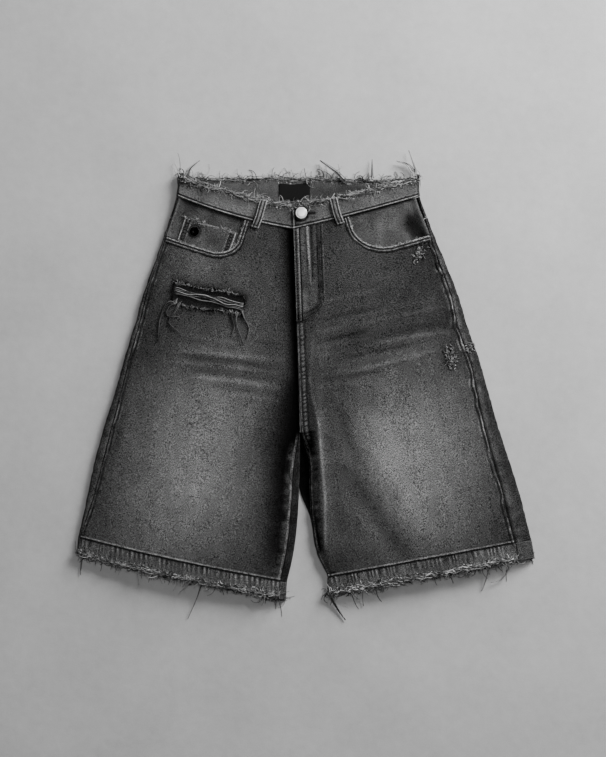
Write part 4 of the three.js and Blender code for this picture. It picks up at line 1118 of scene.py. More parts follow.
def front_band(name, half, side, ragged, seed):
    share = stations(185, 0.7, 1.1, 6)
    down = np.concatenate([np.linspace(0, 0.72, 24, endpoint=False), np.linspace(0.72, 1, 24)])
    rows = lerp(ragged(share)[None, :], WAIST_SEAM - 0.01, down[:, None])
    share = share[None, :] + 0 * rows
    points = band_points(half, share, rows)
    x, y = plan_of(points)
    to_seam = (WAIST_SEAM - rows) * BAND_ROW
    height = BAND_PROUD + 0.45 * bell(to_seam - 1.6, 1.1) - 0.6 * bell(to_seam - 4, 0.8)
    height += 0.3 * uneven(x, y, 12, seed) + 0.15 * uneven(x, y, 4, seed + 1)
    height += 0.25 * wavy(x, 5, seed + 2) * bell(to_seam, 9) - 0.5 * bell(to_seam + 0.3, 0.7)
    tone = 0.08 + 0.03 * uneven(x, y, 22, seed + 3) + 0.03 * bell(to_seam - 12, 9)
    tone *= seam_shade(to_seam - 4.3, 0.97, 1.7) * seam_shade(to_seam + 0.2, 0.9, 1.1)
    tone *= 1 - 0.4 * bell(x - WAIST_CENTRE[0], 30)
    to_x, to_y = x - BUTTON_AT[0], y - BUTTON_AT[1]
    from_button = np.hypot(to_x, to_y)
    gathers = np.clip(uneven(np.arctan2(to_y, to_x) * 9, 0.1 * from_button, 2.6, 39), 0, 1)
    # Painted shade in a ring round the button and in the creases that radiate from it.
    tone *= (1 - 0.85 * bell(from_button - 10, 2)) * (1 - 0.75 * gathers * bell(from_button - 15, 8))
    slit = bell(crease_distance(x, y, BUTTON_AT, (11, 258)), 2.6)
    height -= 0.8 * slit + 0.4 * gathers * bell(from_button - 15, 8)
    # The slit's dark is painted shade in its groove.
    tone *= 1 - 0.93 * slit
    worn = 0.75 * bell(to_seam - 1.9, 0.9) * (0.65 + 0.35 * uneven(x, y, 4, seed + 4))
    worn += 0.3 * bell(to_seam - 6.6, 1.2) * (0.5 + 0.5 * uneven(x, y, 4, seed + 6))
    from_fly = (1 - share) * 185
    if half is RIGHT:
        worn += 0.7 * bell(from_fly - 1.2, 1.1)
        tone *= seam_shade(from_fly - 4.2, 0.85, 1.1)
    else:
        tone *= seam_shade(from_fly, 0.95, 3)
    worn += 0.5 * bell(down[:, None] * BAND_ROW, 4) * (0.6 + 0.4 * uneven(x, y, 2, seed + 5))
    piece = cloth(name, raised(points, side, height), side, BAND_CLOTH, tone, worn, BAND_DENIM)
    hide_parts(name)
    return (piece, cut_size(points)), raised(points, side, height)


def back_band_points(share, rows):
    left = back_point(LEFT, rows, np.clip(2 * share, 0, 1))
    right = back_point(RIGHT, rows, np.clip(2 * (1 - share), 0, 1))
    return np.where((share < 0.5)[..., None], left, right)


def back_band():
    half_way = back_stations(110) / 2
    share = np.concatenate([half_way, 1 - half_way[-2::-1]])
    down = np.linspace(0, 1, 34)
    rows = lerp(BACK_TOP + RAGGED["back"](share)[None, :], WAIST_SEAM - 0.01, down[:, None])
    share = share[None, :] + 0 * rows
    points = back_band_points(share, rows)
    points[..., 0] = np.where(np.abs(share - 0.5) < 0.004, WAIST_CENTRE[0] - 0.8, points[..., 0])
    x, y = plan_of(points)
    height = BAND_PROUD + 0.2 * uneven(x, y, 14, 370) + 0.1 * uneven(x, y, 4, 371) - 0.1
    tone = 0.075 - 0.03 * smooth((x + 10) / 60) + 0.02 * uneven(x, y, 18, 372)
    tone += 0.012 * uneven(x, y, 6, 374)
    tone *= 1 - 0.5 * bell(down[:, None] * BAND_ROW, 1.2)
    worn = 0.16 * bell(down[:, None] * BAND_ROW - 1.5, 1.2) * (0.5 + 0.5 * uneven(x, y, 2, 373))
    piece = cloth("waistband_back", raised(points, 1, height), 1, BAND_CLOTH, tone, worn, BAND_DENIM)
    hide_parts("waistband_back")
    return (piece, cut_size(points)), points


band_left, band_left_grid = front_band(
    "waistband_front_left", LEFT, -1, RAGGED["left"], 360)
band_right, band_right_grid = front_band(
    "waistband_front_right", RIGHT, 1, RAGGED["right"], 380)
band_back, band_back_grid = back_band()

# %% [markdown]
# The hems. A band of 25 mm below one stitch line, turned and cut raw. Shrinking in the wash gathers the
# front band into dozens of small ribs about 7 mm apart. A cosine along the hem makes them, and noise
# shifts each one and sets its depth, so that no two are alike.

# %% Hem bands
RIB_PITCH = 7.2


def hem_front(name, half, side, seed):
    share = stations(310, 0.7, 0.9, 6)
    down = np.linspace(0, 1, 23)
    rows = lerp(HEM_SEAM + 0.012, HEM_EDGE, down[:, None]) + 0 * share[None, :]
    ragged = 0.05 * wavy(share * 310, 13, seed) + 0.03 * wavy(share * 310, 2.4, seed)
    rows += ragged[None, :] * down[:, None] ** 3
    section = section_at(half, rows)
    stop = section["reach"] - section["inseam"] - SEAM / 2
    inward = lerp(section["side"] + SEAM / 2, stop, share[None, :])
    points = top_point(half, rows, inward)
    x, y = plan_of(points)
    from_seam = (rows - HEM_SEAM) * HEM_ROW
    place_along = inward + 4.5 * uneven(inward, 0.1 * from_seam, 14, seed + 2)
    rib = np.cos(2 * math.pi * place_along / RIB_PITCH)
    rib *= 0.5 + 0.5 * uneven(inward, 0.3 * from_seam, 9, seed + 8)
    rib += 0.35 * uneven(inward, 0.2 * from_seam, 2.4, seed + 3)
    height = 0.6 * rib * (0.2 + 0.9 * bell(from_seam - 6, 7)) - 0.9 * bell(from_seam, 0.9)
    height += 0.3 * uneven(x, y, 14, seed + 4)
    height += 0.4 * uneven(x, y, 4, seed + 7) * smooth((from_seam - 17) / 6)
    tone = 0.11 + 0.02 * uneven(x, y, 16, seed + 5)
    # Darker between the ribs: painted shade in their troughs.
    tone *= 1 - 0.7 * np.clip(0.1 - rib, 0, 1) * bell(from_seam - 5, 9)
    tone = np.maximum(tone, 0.01) * seam_shade(from_seam - 0.2, 0.97, 1.6)
    worn = 0.75 * np.clip(rib - 0.3, 0, 1) * bell(from_seam - 5, 5)
    worn += 0.7 * smooth((from_seam - 19) / 5) * (0.5 + 0.6 * uneven(x, y, 3, seed + 6))
    lifted = raised(points, side, height)
    piece = cloth(name, lifted, side, HEM_CLOTH, tone, worn, HEM_DENIM)
    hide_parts(name)
    return (piece, cut_size(points)), lifted


def hem_back(name, half, side, seed):
    station = back_stations(150)
    down = np.linspace(0, 1, 14)
    rows = lerp(HEM_SEAM + 0.012, HEM_EDGE + 0.15, down[:, None]) + 0 * station[None, :]
    points = back_point(half, rows, station[None, :] + 0 * rows)
    x, y = plan_of(points)
    shown = shown_from_above(station)
    height = (0.3 * uneven(x, y, 4, seed)) * shown - 0.3
    tone = 0.055 + 0.012 * uneven(x, y, 14, seed + 1) + 0 * rows
    worn = 0.2 * smooth((down[:, None] - 0.85) / 0.12) * (0.5 + 0.5 * uneven(x, y, 2, seed + 2))
    piece = cloth(name, raised(points, side, height), side, HEM_CLOTH, tone, worn, HEM_DENIM)
    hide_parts(name)
    return (piece, cut_size(points)), points


hem_fl, hem_fl_grid = hem_front("hem_front_left", LEFT, -1, 400)
hem_fr, hem_fr_grid = hem_front("hem_front_right", RIGHT, 1, 420)
hem_bl, hem_bl_grid = hem_back("hem_back_left", LEFT, 1, 440)
hem_br, hem_br_grid = hem_back("hem_back_right", RIGHT, -1, 450)

# %% [markdown]
# Pocket facings and the coin pocket. The facing is the denim that shows inside a pocket's mouth. It lies a
# few millimetres under the front, and the right one gapes into a hollow towards the side, whose dark is
# painted shade. The coin pocket is a patch on the left facing, with a frayed top edge, two rows of
# stitches down each side and dark rungs between them.

# %% Facings and coin pocket
def facing(name, scoop, side, dip, tone, seed):
    half, depth = scoop["half"], scoop["depth"]
    start = float(section_at(half, depth)["side"]) + SEAM
    share, down = np.linspace(0, 1, 84), np.linspace(0, 1, 46)[:, None]
    inward = lerp(start, scoop["width"] + 14, share)[None, :] + 0 * down
    bottom = depth - 0.02 + 0.32 * smooth((inward - 20) / 16)
    rows = lerp(WAIST_SEAM + 0.02, bottom, down)
    points = top_point(half, rows, inward)
    hollow = bell(inward - 37 + 19 * down, 15) * smooth(down * 1.5) * smooth((inward - 4) / 14)
    points[..., 2] -= FACING_DEPTH * smooth((inward - 4) / 14) + dip * hollow
    x, y = plan_of(points)
    size = cut_size(points)
    points[..., 2] += 0.35 * uneven(x, y, 16, seed) + 0.15 * uneven(x, y, 6, seed + 1)
    shade = tone * (1 + 0.35 * uneven(x, y, 14, seed + 2))
    # Painted shade in the hollow where the right facing gapes.
    shade *= 1 - 0.86 * min(dip, 1) * smooth(hollow)
    # Painted shade along the top, under the waistband's lower edge.
    shade *= 1 - 0.6 * bell(down, 0.05)
    worn = 0.25 * bell(inward - start - 2, 1.4) + 0 * rows
    piece = cloth(name, points, side, PATCH_CLOTH, shade, worn, INNER_DENIM)
    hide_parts(name)
    return piece, size


def coin_pocket():
    near, far, top, bottom = (COIN_POCKET[key] for key in ("near", "far", "top", "bottom"))
    share, down = np.linspace(0, 1, 110), np.linspace(0, 1, 60)[:, None]
    inward = lerp(near, far, share)[None, :] + 0 * down
    frayed = 0.02 * wavy(inward, 5, 500) * (1 - down) ** 4
    points = top_point(LEFT, lerp(top, bottom, down) + frayed, inward)
    points[..., 2] -= COIN_POCKET["under"]
    x, y = plan_of(points)
    size = cut_size(points)
    from_end = np.minimum(inward - near, far - inward)
    from_top = down * (bottom - top) * POCKET_ROW
    height = 0.35 * bell(from_end - 1.2, 1) + 0.3 * bell(from_end - 6, 1.4)
    height -= 0.5 * bell(from_end - 3.6, 0.8) + 0.5 * bell(from_end - 8.6, 0.8)
    height += 0.3 * uneven(x, y, 9, 501)
    height += 0.5 * bell(from_top - 2, 2) * uneven(x, y, 3, 502)
    tone = 0.07 * (1 + 0.25 * uneven(x, y, 12, 503))
    tone *= seam_shade(from_end - 8.6, 0.8, 1.1) * seam_shade(from_end - 3.2, 0.93, 1.1)
    rung = rungs(from_top, 4.6)
    tone *= 1 - 0.95 * rung * bell(from_end - 5.9, 2)
    # Painted shade in a ring round the stud.
    below_stud = (lerp(top, bottom, down) - STUD["row"]) * POCKET_ROW
    tone *= 1 - 0.7 * bell(np.hypot(inward - STUD["inward"], below_stud) - 8.5, 2)
    worn = 0.8 * bell(from_end - 1.1, 1.3)
    worn += 0.5 * bell(from_top - 1, 1.8) * (0.6 + 0.4 * uneven(x, y, 2, 504))
    worn += 0.45 * bell(from_end - 10.4, 1.2) * (0.5 + 0.5 * uneven(x, y, 2.6, 505))
    piece = cloth("coin_pocket", raised(points, -1, height), -1, PATCH_CLOTH, tone, worn, INNER_DENIM)
    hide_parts("coin_pocket")
    return (piece, size), points


facing_left = facing("pocket_facing_left", SCOOPS["left"], -1, 0, 0.065, 510)
facing_right = facing("pocket_facing_right", SCOOPS["right"], 1, 3.5, 0.066, 520)
coin, coin_grid = coin_pocket()

# %% [markdown]
# Button and stud. Both are turned metal: a profile spun round its axis and tipped to lie on the cloth
# below. The shank button is a plain domed disc with a rolled rim, and the stud has concentric rings. A
# lathe by hand gives clean rings, where a boolean or a bevelled cylinder would need cleaning up.

# %% Turned metal
def turned(name, profile, centre, normal, finish, steps=72):
    """Spin a profile of (radius, height) round the normal at a centre, and close it at the axis."""
    normal = Vector(normal).normalized()
    turn = Vector((0, 0, 1)).rotation_difference(normal).to_matrix()
    basis = np.array(turn)
    angle = 2 * math.pi * np.arange(steps) / steps
    profile = np.asarray(profile, float)
    rings = np.stack([profile[:, :1] * np.cos(angle), profile[:, :1] * np.sin(angle),
                      profile[:, 1:] + 0 * angle], -1)
    ends = np.array([[0, 0, profile[0, 1]], [0, 0, profile[-1, 1]]])
    vertices = np.concatenate([rings.reshape(-1, 3), ends]) @ basis.T + np.asarray(centre)
    index = np.arange(len(profile) * steps).reshape(len(profile), steps)
    around = np.roll(index, -1, axis=1)
    quads = np.stack([index[:-1], around[:-1], around[1:], index[1:]], -1).reshape(-1, 4).tolist()
    low, high = index.size, index.size + 1
    fans = [(b, a, low) for a, b in zip(index[0], around[0])]
    fans += [(a, b, high) for a, b in zip(index[-1], around[-1])]
    faces = quads + [tuple(int(i) for i in fan) for fan in fans]
    flat = np.zeros(len(vertices))
    return new_piece(f"{name}_turned", vertices, faces, flat, flat, finish)


def cloth_normal(half, row, inward):
    """Unit normal, pointing up, of the upper layer at one place."""
    rows = row + np.array([[0, 0], [0.02, 0.02]])
    points = top_point(half, rows, inward + np.array([[0, 1.0], [0, 1.0]]))
    normal = np.cross(points[0, 1] - points[0, 0], points[1, 0] - points[0, 0])
    return normal * np.sign(normal[2]) / np.linalg.norm(normal)


def shank_button():
    radius, height = BUTTON["radius"], BUTTON["height"]
    angle = np.linspace(-math.pi / 2, math.pi * 0.62, 14)
    rim = [(radius - 0.9 + 0.9 * math.cos(a), height * 0.62 + 0.9 * math.sin(a)) for a in angle]
    profile = [(radius * 0.72, 0), (radius * 0.74, height * 0.3)] + rim
    profile += [(radius * 0.78, height * 0.74), (radius * 0.74, height * 0.76)]
    profile += [(radius * 0.72 * math.cos(a), height * (0.9 + 0.1 * math.sin(a)))
                for a in np.linspace(0, math.pi / 2 - 0.04, 12)]
    inward = float(section_at(RIGHT, BUTTON["row"])["reach"]) - BUTTON["out"]
    normal = cloth_normal(RIGHT, BUTTON["row"], inward)
    centre = top_point(RIGHT, BUTTON["row"], inward) + normal * (BAND_PROUD + GAP)
    piece = turned("button", profile, centre, normal, NICKEL_PAINTED_WHITE)
    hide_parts("button")
    return centre


# The stud's profile from its rim in: shares of its radius and of its height
STUD_PROFILE = ((0.96, 0), (1, 0.3), (0.99, 0.62), (0.95, 0.88), (0.89, 0.98), (0.8, 1), (0.7, 0.96),
                (0.65, 0.82), (0.62, 0.62), (0.56, 0.58), (0.5, 0.66), (0.42, 0.84), (0.34, 0.86),
                (0.26, 0.74), (0.2, 0.6), (0.12, 0.64), (0.02, 0.7))


def pocket_stud():
    radius, height = STUD["radius"], STUD["height"]
    profile = [(radius * out, height * up) for out, up in STUD_PROFILE]
    normal = cloth_normal(LEFT, STUD["row"], STUD["inward"])
    centre = top_point(LEFT, STUD["row"], STUD["inward"]) + normal * (GAP - COIN_POCKET["under"])
    piece = turned("coin_pocket_stud", profile, centre, normal, BLACK_METAL)
    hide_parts("coin_pocket_stud")


button_centre = shank_button()
pocket_stud()
print("button at", np.round(button_centre, 1))

# %% [markdown]
# The fly. A J-shaped double layer on the right front. A strip along the centre front is pressed flat and
# sewn down, a long crease where the zip lies has rubbed pale, and the J is closed by two rows of stitches.

# %% Fly
def fly_row(out, share):
    end = FLY["row"] - FLY["curve"] * (1 - np.sqrt(1 - (out / (FLY["width"] + 1)) ** 2))
    return lerp(WAIST_SEAM + 0.02, end, share)


def fly():
    out = np.linspace(SEAM, FLY["width"], 66)[None, :]
    share = np.linspace(0, 1, 128)[:, None]
    rows = fly_row(out, share)
    out = out + 0 * rows
    points = top_point(RIGHT, rows, section_at(RIGHT, rows)["reach"] - out)
    size = cut_size(points)
    run = (rows - WAIST_SEAM) * FLY_ROW
    fade_down = 1 - smooth((run - 50) / 45)
    height = GAP + PATCH_CLOTH + 0.35 * bell(out - 4, 3) - 0.7 * bell(out - 9, 1.1)
    height += 1.1 * bell(out - 20 - 0.03 * run, 2.2) * fade_down - 0.6 * bell(out - 26, 3) * fade_down
    height -= 0.6 * bell(out - 42.5, 0.8) + 0.5 * bell(out - 38, 0.8) + 0.5 * smooth((out - 43) / 2)
    height += 0.3 * uneven(out, run, 9, 530) + 0.35 * wavy(run, 6, 531) * bell(out - 40, 5)
    height += 0.3 * wavy(run, 5, 532) * bell(out - 4, 3)
    height += 0.7 * bell(out - 13 + 0.02 * run, 4) * smooth((run - 95) / 15)
    tone = 0.052 + 0.02 * bell(out - 4.5, 3.6) + 0.02 * bell(out - 15, 6) * fade_down
    tone += 0.05 * bell(out - 14, 5) * smooth((run - 90) / 20)
    # The darkening about 27 mm out, beside the zip's raised crease, is painted shade in its trough.
    tone *= seam_shade(out - 9.4, 0.9, 1.3) * seam_shade(out - 27, 0.6, 3.6 * fade_down + 0.01)
    to_end = (fly_row(out, 1.0) - rows) * FLY_ROW
    round_end = np.minimum(FLY["width"] - out, to_end)
    dashed = 0.7 + 0.3 * uneven(run, out, 3.5, 537)
    for row in (2.5, 8.3):
        tone *= 1 - 0.97 * dashed * bell(round_end - row, 2.7)
    # Darker at the top, just below the waistband: painted shade under the band's edge.
    tone *= (1 + 0.2 * uneven(out, run, 7, 533)) * (1 - 0.4 * bell(run - 1, 2))
    dots = rungs(run + wavy(run, 7, 534), 4.8)
    tone *= 1 - 0.95 * dots * bell(out - 4.4, 2.1)
    tack = bell(to_end - 6, 8) * bell(out - 4, 5) * rungs(to_end, 5)
    tone *= 1 - 0.95 * tack
    worn = 0.5 * bell(out - 21.5 - 0.03 * run, 1.5) * fade_down * (0.7 + 0.3 * wavy(run, 9, 535))
    worn += 0.5 * bell(out - 0.9, 0.9) + 0.3 * bell(out - 7.4, 1.0)
    worn += 0.2 * bell(round_end - 0.2, 0.8) * (0.5 + 0.5 * uneven(out, run, 5, 538))
    piece = cloth("fly", raised(points, -1, height), -1, PATCH_CLOTH, tone, worn, FRONT_DENIM)
    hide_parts("fly")
    return piece, size


fly_sheet = fly()

# %% [markdown]
# Belt loops and the label. A loop is a narrow folded strip, stitched along both edges and bar-tacked at
# its ends; it arches clear of the band. The label is sewn inside the back band. Both are the same kind of
# sheet as the panels, only small and fine.

# %% Loops and label
def loop_points(half, share, down):
    rows = lerp(LOOP["top"], LOOP["bottom"], down)
    middle = lerp(LOOP["top_in"], LOOP["bottom_in"], down)
    points = top_point(half, rows, middle + LOOP["width"] * (share - 0.5))
    points[..., 2] += LOOP["arch"] * np.sin(math.pi * down) ** 0.6
    return points


LOOP_RAISE = BAND_PROUD + 3 * GAP + CLOTH


def front_loop(name, half, side, seed):
    share, down = np.linspace(0, 1, 25)[None, :], np.linspace(0, 1, 60)[:, None]
    share, down = share + 0 * down, down + 0 * share
    points = loop_points(half, share, down)
    x, y = plan_of(points)
    size = cut_size(points)
    from_edge = np.minimum(share, 1 - share) * LOOP["width"]
    from_end = np.minimum(down, 1 - down) * LOOP_LENGTH
    height = LOOP_RAISE - 0.4 * bell(from_edge - 2.7, 0.6) - 0.5 * (1 - smooth(from_edge / 0.8))
    height += 0.3 * bell(from_edge - LOOP["width"] / 2, 1.6) + 0.2 * uneven(y, share * 11, 5, seed)
    height -= 0.6 * bell(from_end - 3, 0.9)
    tone = 0.05 * (1 + 0.3 * uneven(x, y, 5, seed + 1))
    tone *= (1 - 0.93 * bell(from_edge - 2.9, 0.9)) * (1 - 0.85 * bell(from_end - 3, 1.2))
    worn = 1.0 * bell(from_edge - 0.9, 0.9) + 0.55 * bell(from_edge - 5.7, 1.3)
    worn += 0.6 * bell(from_end - 0.8, 0.9)
    worn *= 0.75 + 0.25 * uneven(y, share * 11, 3, seed + 2)
    piece = cloth(name, raised(points, side, height), side, CLOTH, tone, worn, BAND_DENIM)
    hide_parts(name)
    return piece, size


def inner_points(x, rows):
    """Points of the lower layer's underside at the given x."""
    points = np.zeros(np.broadcast(x, rows).shape + (3,))
    for half, mask in ((LEFT, x < WAIST_CENTRE[0]), (RIGHT, x >= WAIST_CENTRE[0])):
        section = section_at(half, rows)
        share = share_at(section, x)
        y = plan_point(section, share * section["width"])[1] + section["back_y"] * smooth(share)
        points = np.where(mask[..., None], np.stack([x, y, section["lift"]], -1), points)
    return points


def back_loop(name, centre):
    share, down = np.linspace(-0.5, 0.5, 20)[None, :], np.linspace(0.02, 0.95, 44)[:, None]
    x, rows = centre + LOOP["width"] * share + 0 * down, down + 0 * share
    points = inner_points(x, rows)
    size = cut_size(points)
    from_edge = (0.5 - np.abs(share + 0 * down)) * LOOP["width"]
    height = BAND_PROUD + GAP + CLOTH - 0.3 * bell(from_edge - 2.7, 0.6)
    height -= 0.3 * (1 - smooth(from_edge / 0.8))
    worn = 0.5 * bell(from_edge - 0.9, 0.7) + 0.3 * bell(from_edge - 5.7, 1.1)
    piece = cloth(name, raised(points, 1, height), 1, CLOTH, 0.05 + 0 * worn, worn, BAND_DENIM)
    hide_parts(name)
    return piece, size


def label():
    x = np.linspace(LABEL["left"], LABEL["right"], 36)[None, :]
    rows = np.linspace(LABEL["top"], LABEL["bottom"], 26)[:, None]
    x, rows = x + 0 * rows, rows + 0 * x
    points = inner_points(x, rows)
    size = cut_size(points)
    from_edge = np.minimum(np.minimum(x - LABEL["left"], LABEL["right"] - x),
                           np.minimum(rows - LABEL["top"], LABEL["bottom"] - rows) * BAND_ROW)
    height = BAND_PROUD - BAND_CLOTH - GAP + 0.25 * bell(from_edge - 1.8, 0.6)
    height -= 0.2 * uneven(x, rows, 9, 550)
    flat = np.zeros(rows.shape)
    piece = cloth("waist_label", raised(points, 1, height), 1, LABEL_CLOTH, flat, flat, LABEL_SATIN)
    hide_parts("waist_label")
    return piece, size


loop_left = front_loop("belt_loop_front_left", LEFT, -1, 540)
loop_right = front_loop("belt_loop_front_right", RIGHT, 1, 545)
back_loops = [back_loop(f"belt_loop_back_{where}", at)
              for where, at in (("left", -115), ("centre", -9), ("right", 95))]
waist_label = label()

# %% [markdown]
# Pocket mouths. The cut edge of each mouth is turned under and topstitched twice, which leaves two rubbed
# ridges with a groove between. This welt is its own narrow sheet that follows the mouth's line in plan
# and is dropped onto the front, because its ridges run slantwise to the panel's grid.

# %% Welts of the pocket mouths
WELT = {"wide": 9.8, "rows": (3.2, 7.5)}


def beside(line, distance, side):
    """The line moved in plan away from the mouth."""
    along_line = np.gradient(line, axis=0)
    along_line /= np.linalg.norm(along_line, axis=-1, keepdims=True)
    away = side * np.stack([along_line[:, 1], -along_line[:, 0]], -1)
    return line[None] + away[None] * np.asarray(distance, float).reshape(-1, 1, 1)


def mouth_line(scoop, steps=170):
    return along(scoop_line(scoop), np.linspace(0.012, 0.985, steps))


def welt(name, scoop, side, seed):
    line = mouth_line(scoop)
    off = np.linspace(-0.5, WELT["wide"], 30)
    plan = beside(line, off, side)
    run = np.linspace(0, length_of(line), len(line))[None, :] + 0 * off[:, None]
    off = off[:, None] + 0 * run
    points = on_front(scoop["half"], plan[..., 0], plan[..., 1])
    first, second = WELT["rows"]
    height = 0.55 + 0.55 * bell(off - 1.3, 1.3) + 0.4 * bell(off - 5.2, 1.3)
    height -= 0.55 * bell(off - first, 0.7) + 0.55 * bell(off - second, 0.7)
    height -= 0.85 * smooth((off - 7.6) / 1.9)
    height += 0.3 * uneven(run, off, 4, seed) + 0.25 * wavy(run, 2.6, seed + 1)
    tone = wash(points[..., 0], points[..., 1]) * 0.9
    tone *= seam_shade(off - first, 0.96, 1.25) * seam_shade(off - second, 0.96, 1.25)
    tone *= seam_shade(off - 9.5, 0.5, 1.2)
    worn = 1.0 * bell(off - 0.8, 1.2) * (0.6 + 0.4 * uneven(run, off, 3, seed + 2))
    worn += 0.6 * bell(off - 5.4, 0.9) * (0.6 + 0.4 * uneven(run, off, 3, seed + 3))
    up = int(np.sign(outward(points, 1)[..., 2].mean()))
    piece = cloth(name, raised(points, up, height), up, 0.7, tone, worn, FRONT_DENIM)
    return piece


welt_left = welt("pocket_welt_left", SCOOPS["left"], -1, 560)
welt_right = welt("pocket_welt_right", SCOOPS["right"], 1, 570)

# %% [markdown]
# Stitches. Black thread, two to three stitches to the centimetre, sunk in its groove. Each stitch is a
# small tube that dives into the cloth at both ends. A row is laid out along any line of points, so one
# function sews the whole garment, and the stitches of one seam are joined into one mesh.

# %% Sew
STITCH = {"length": 3.0, "pitch": 3.9, "radius": 0.5}


def stitch_paths(line, lift=0.15, pitch=STITCH["pitch"], length=STITCH["length"]):
    """Paths of the stitches along a line of points on the cloth."""
    total = length_of(line)
    starts = np.arange(0.6, total - length, pitch)
    share = (starts[:, None] + np.linspace(0, length, 5)[None, :]) / total
    paths = along(line, share.ravel()).reshape(-1, 5, 3)
    paths[..., 2] += lift + np.array([-0.5, 0.05, 0.15, 0.05, -0.5])
    return paths


def sew(name, lines, seed, radius=STITCH["radius"], tone=(0.003, 0.012)):
    paths = np.concatenate([stitch_paths(line, lift) for line, lift in lines])
    shade = np.random.default_rng(seed).uniform(*tone, len(paths))
    piece = tubes(name, paths, np.full(len(paths), radius), shade, SEWING_THREAD, sides=5, tip=1.0)
    print(name, len(paths), "stitches")
    return piece


def front_line(half, rows, inward):
    """A line on the upper layer with the fine creases' height."""
    points = top_point(half, rows, inward)
    points[..., 2] += crease_sum(points[..., 0], points[..., 1], FINE_CREASES, "height")
    return points


def from_side_line(half, distance, start, stop):
    rows = np.linspace(start, stop, 160)
    return front_line(half, rows, section_at(half, rows)["side"] + distance)


def from_inner_line(half, distance, start, stop):
    rows = np.linspace(start, stop, 160)
    section = section_at(half, rows)
    return front_line(half, rows, section["reach"] - np.maximum(section["inseam"], 0) - distance)


def band_line(half, to_seam):
    share = np.linspace(0.01, 0.99, 120)
    return band_points(half, share, WAIST_SEAM - to_seam / BAND_ROW + 0 * share)


def hem_line(half, row):
    rows = np.full(160, float(row))
    section = section_at(half, rows)
    start, stop = section["side"] + 1, section["reach"] - section["inseam"] - 1
    return top_point(half, rows, lerp(start, stop, np.linspace(0, 1, 160)))


def welt_lines(scoop, side):
    plan = beside(mouth_line(scoop), WELT["rows"], side)
    return [(on_front(scoop["half"], row[:, 0], row[:, 1]), 0.35) for row in plan]


def fly_line(out, start, stop):
    rows = fly_row(np.full(80, float(out)), np.linspace(start, stop, 80))
    return top_point(RIGHT, rows, section_at(RIGHT, rows)["reach"] - out)


def fly_curve(inset):
    """The J's row of stitches: down beside the outer edge, then round to the centre front."""
    width = FLY["width"] - inset
    down = fly_line(width, 0.02, 0.86)
    out = np.linspace(width, 2, 60)
    rows = fly_row(out, 1.0) - inset / FLY_ROW - 0.02
    rows = np.minimum(rows, np.linspace(fly_row(width, 0.87), FLY["row"] + 1, 60))
    turn = top_point(RIGHT, rows, section_at(RIGHT, rows)["reach"] - out)
    return np.concatenate([down, turn])


def coin_lines():
    near, far = COIN_POCKET["near"], COIN_POCKET["far"]
    lines = []
    for inward in (near + 3.6, near + 8.6, far - 8.6, far - 3.6):
        rows = np.linspace(COIN_POCKET["top"] + 0.03, COIN_POCKET["bottom"], 60)
        points = top_point(LEFT, rows, inward + 0 * rows)
        points[..., 2] -= COIN_POCKET["under"]
        lines.append((points, -0.1))
    return lines


def loop_lines(half):
    down = np.linspace(0.04, 0.96, 60)
    lines = [(loop_points(half, share + 0 * down, down), LOOP_RAISE - 0.15) for share in (0.235, 0.765)]
    across = np.linspace(0.1, 0.9, 20)
    for end in (0.045, 0.06, 0.94, 0.955):
        lines.append((loop_points(half, across, end + 0 * across), LOOP_RAISE - 0.1))
    return lines


PANEL_END = 11.96
sew("stitches_waistband", [(band_line(half, 4.2), BAND_PROUD - 0.45) for half in (LEFT, RIGHT)], 601)
sew("stitches_pockets", welt_lines(SCOOPS["left"], -1) + welt_lines(SCOOPS["right"], 1), 602)
sew("stitches_coin_pocket", coin_lines(), 609, 0.75)
sew("stitches_fly", [(fly_curve(2.5), 1.5), (fly_curve(8), 1.5), (fly_line(4.6, 0.02, 0.98), 1.8)], 603,
    radius=0.62)
sew("stitches_rise", [(from_inner_line(RIGHT, inset, 3.85, 6.95), -0.1) for inset in (4.2, 11.4)], 604)
sew("stitches_sides", [(from_side_line(half, 4.8, 2.5, PANEL_END), -0.15) for half in (LEFT, RIGHT)], 605)
sew("stitches_inseams", [(from_inner_line(LEFT, 2.4, 7.3, PANEL_END), -0.1),
                         (from_inner_line(RIGHT, 4.4, 7.3, PANEL_END), -0.1)], 606)
sew("stitches_hems", [(hem_line(half, HEM_SEAM + 0.02), -0.35) for half in (LEFT, RIGHT)], 607,
    radius=0.6)
sew("stitches_loops", loop_lines(LEFT) + loop_lines(RIGHT), 608, radius=0.4)

# %% [markdown]
# Frayed edges. A raw denim edge sheds its yarns: most stay as short curls and tufts, some run out for
# centimetres. Each yarn here starts inside the edge and turns steadily as it goes, which gives the curls.
# They gather in clumps, so their places along the edge are drawn round random centres.

# %% Fray
FRAY_STEPS, FRAY_FLOOR = 7, 0.6


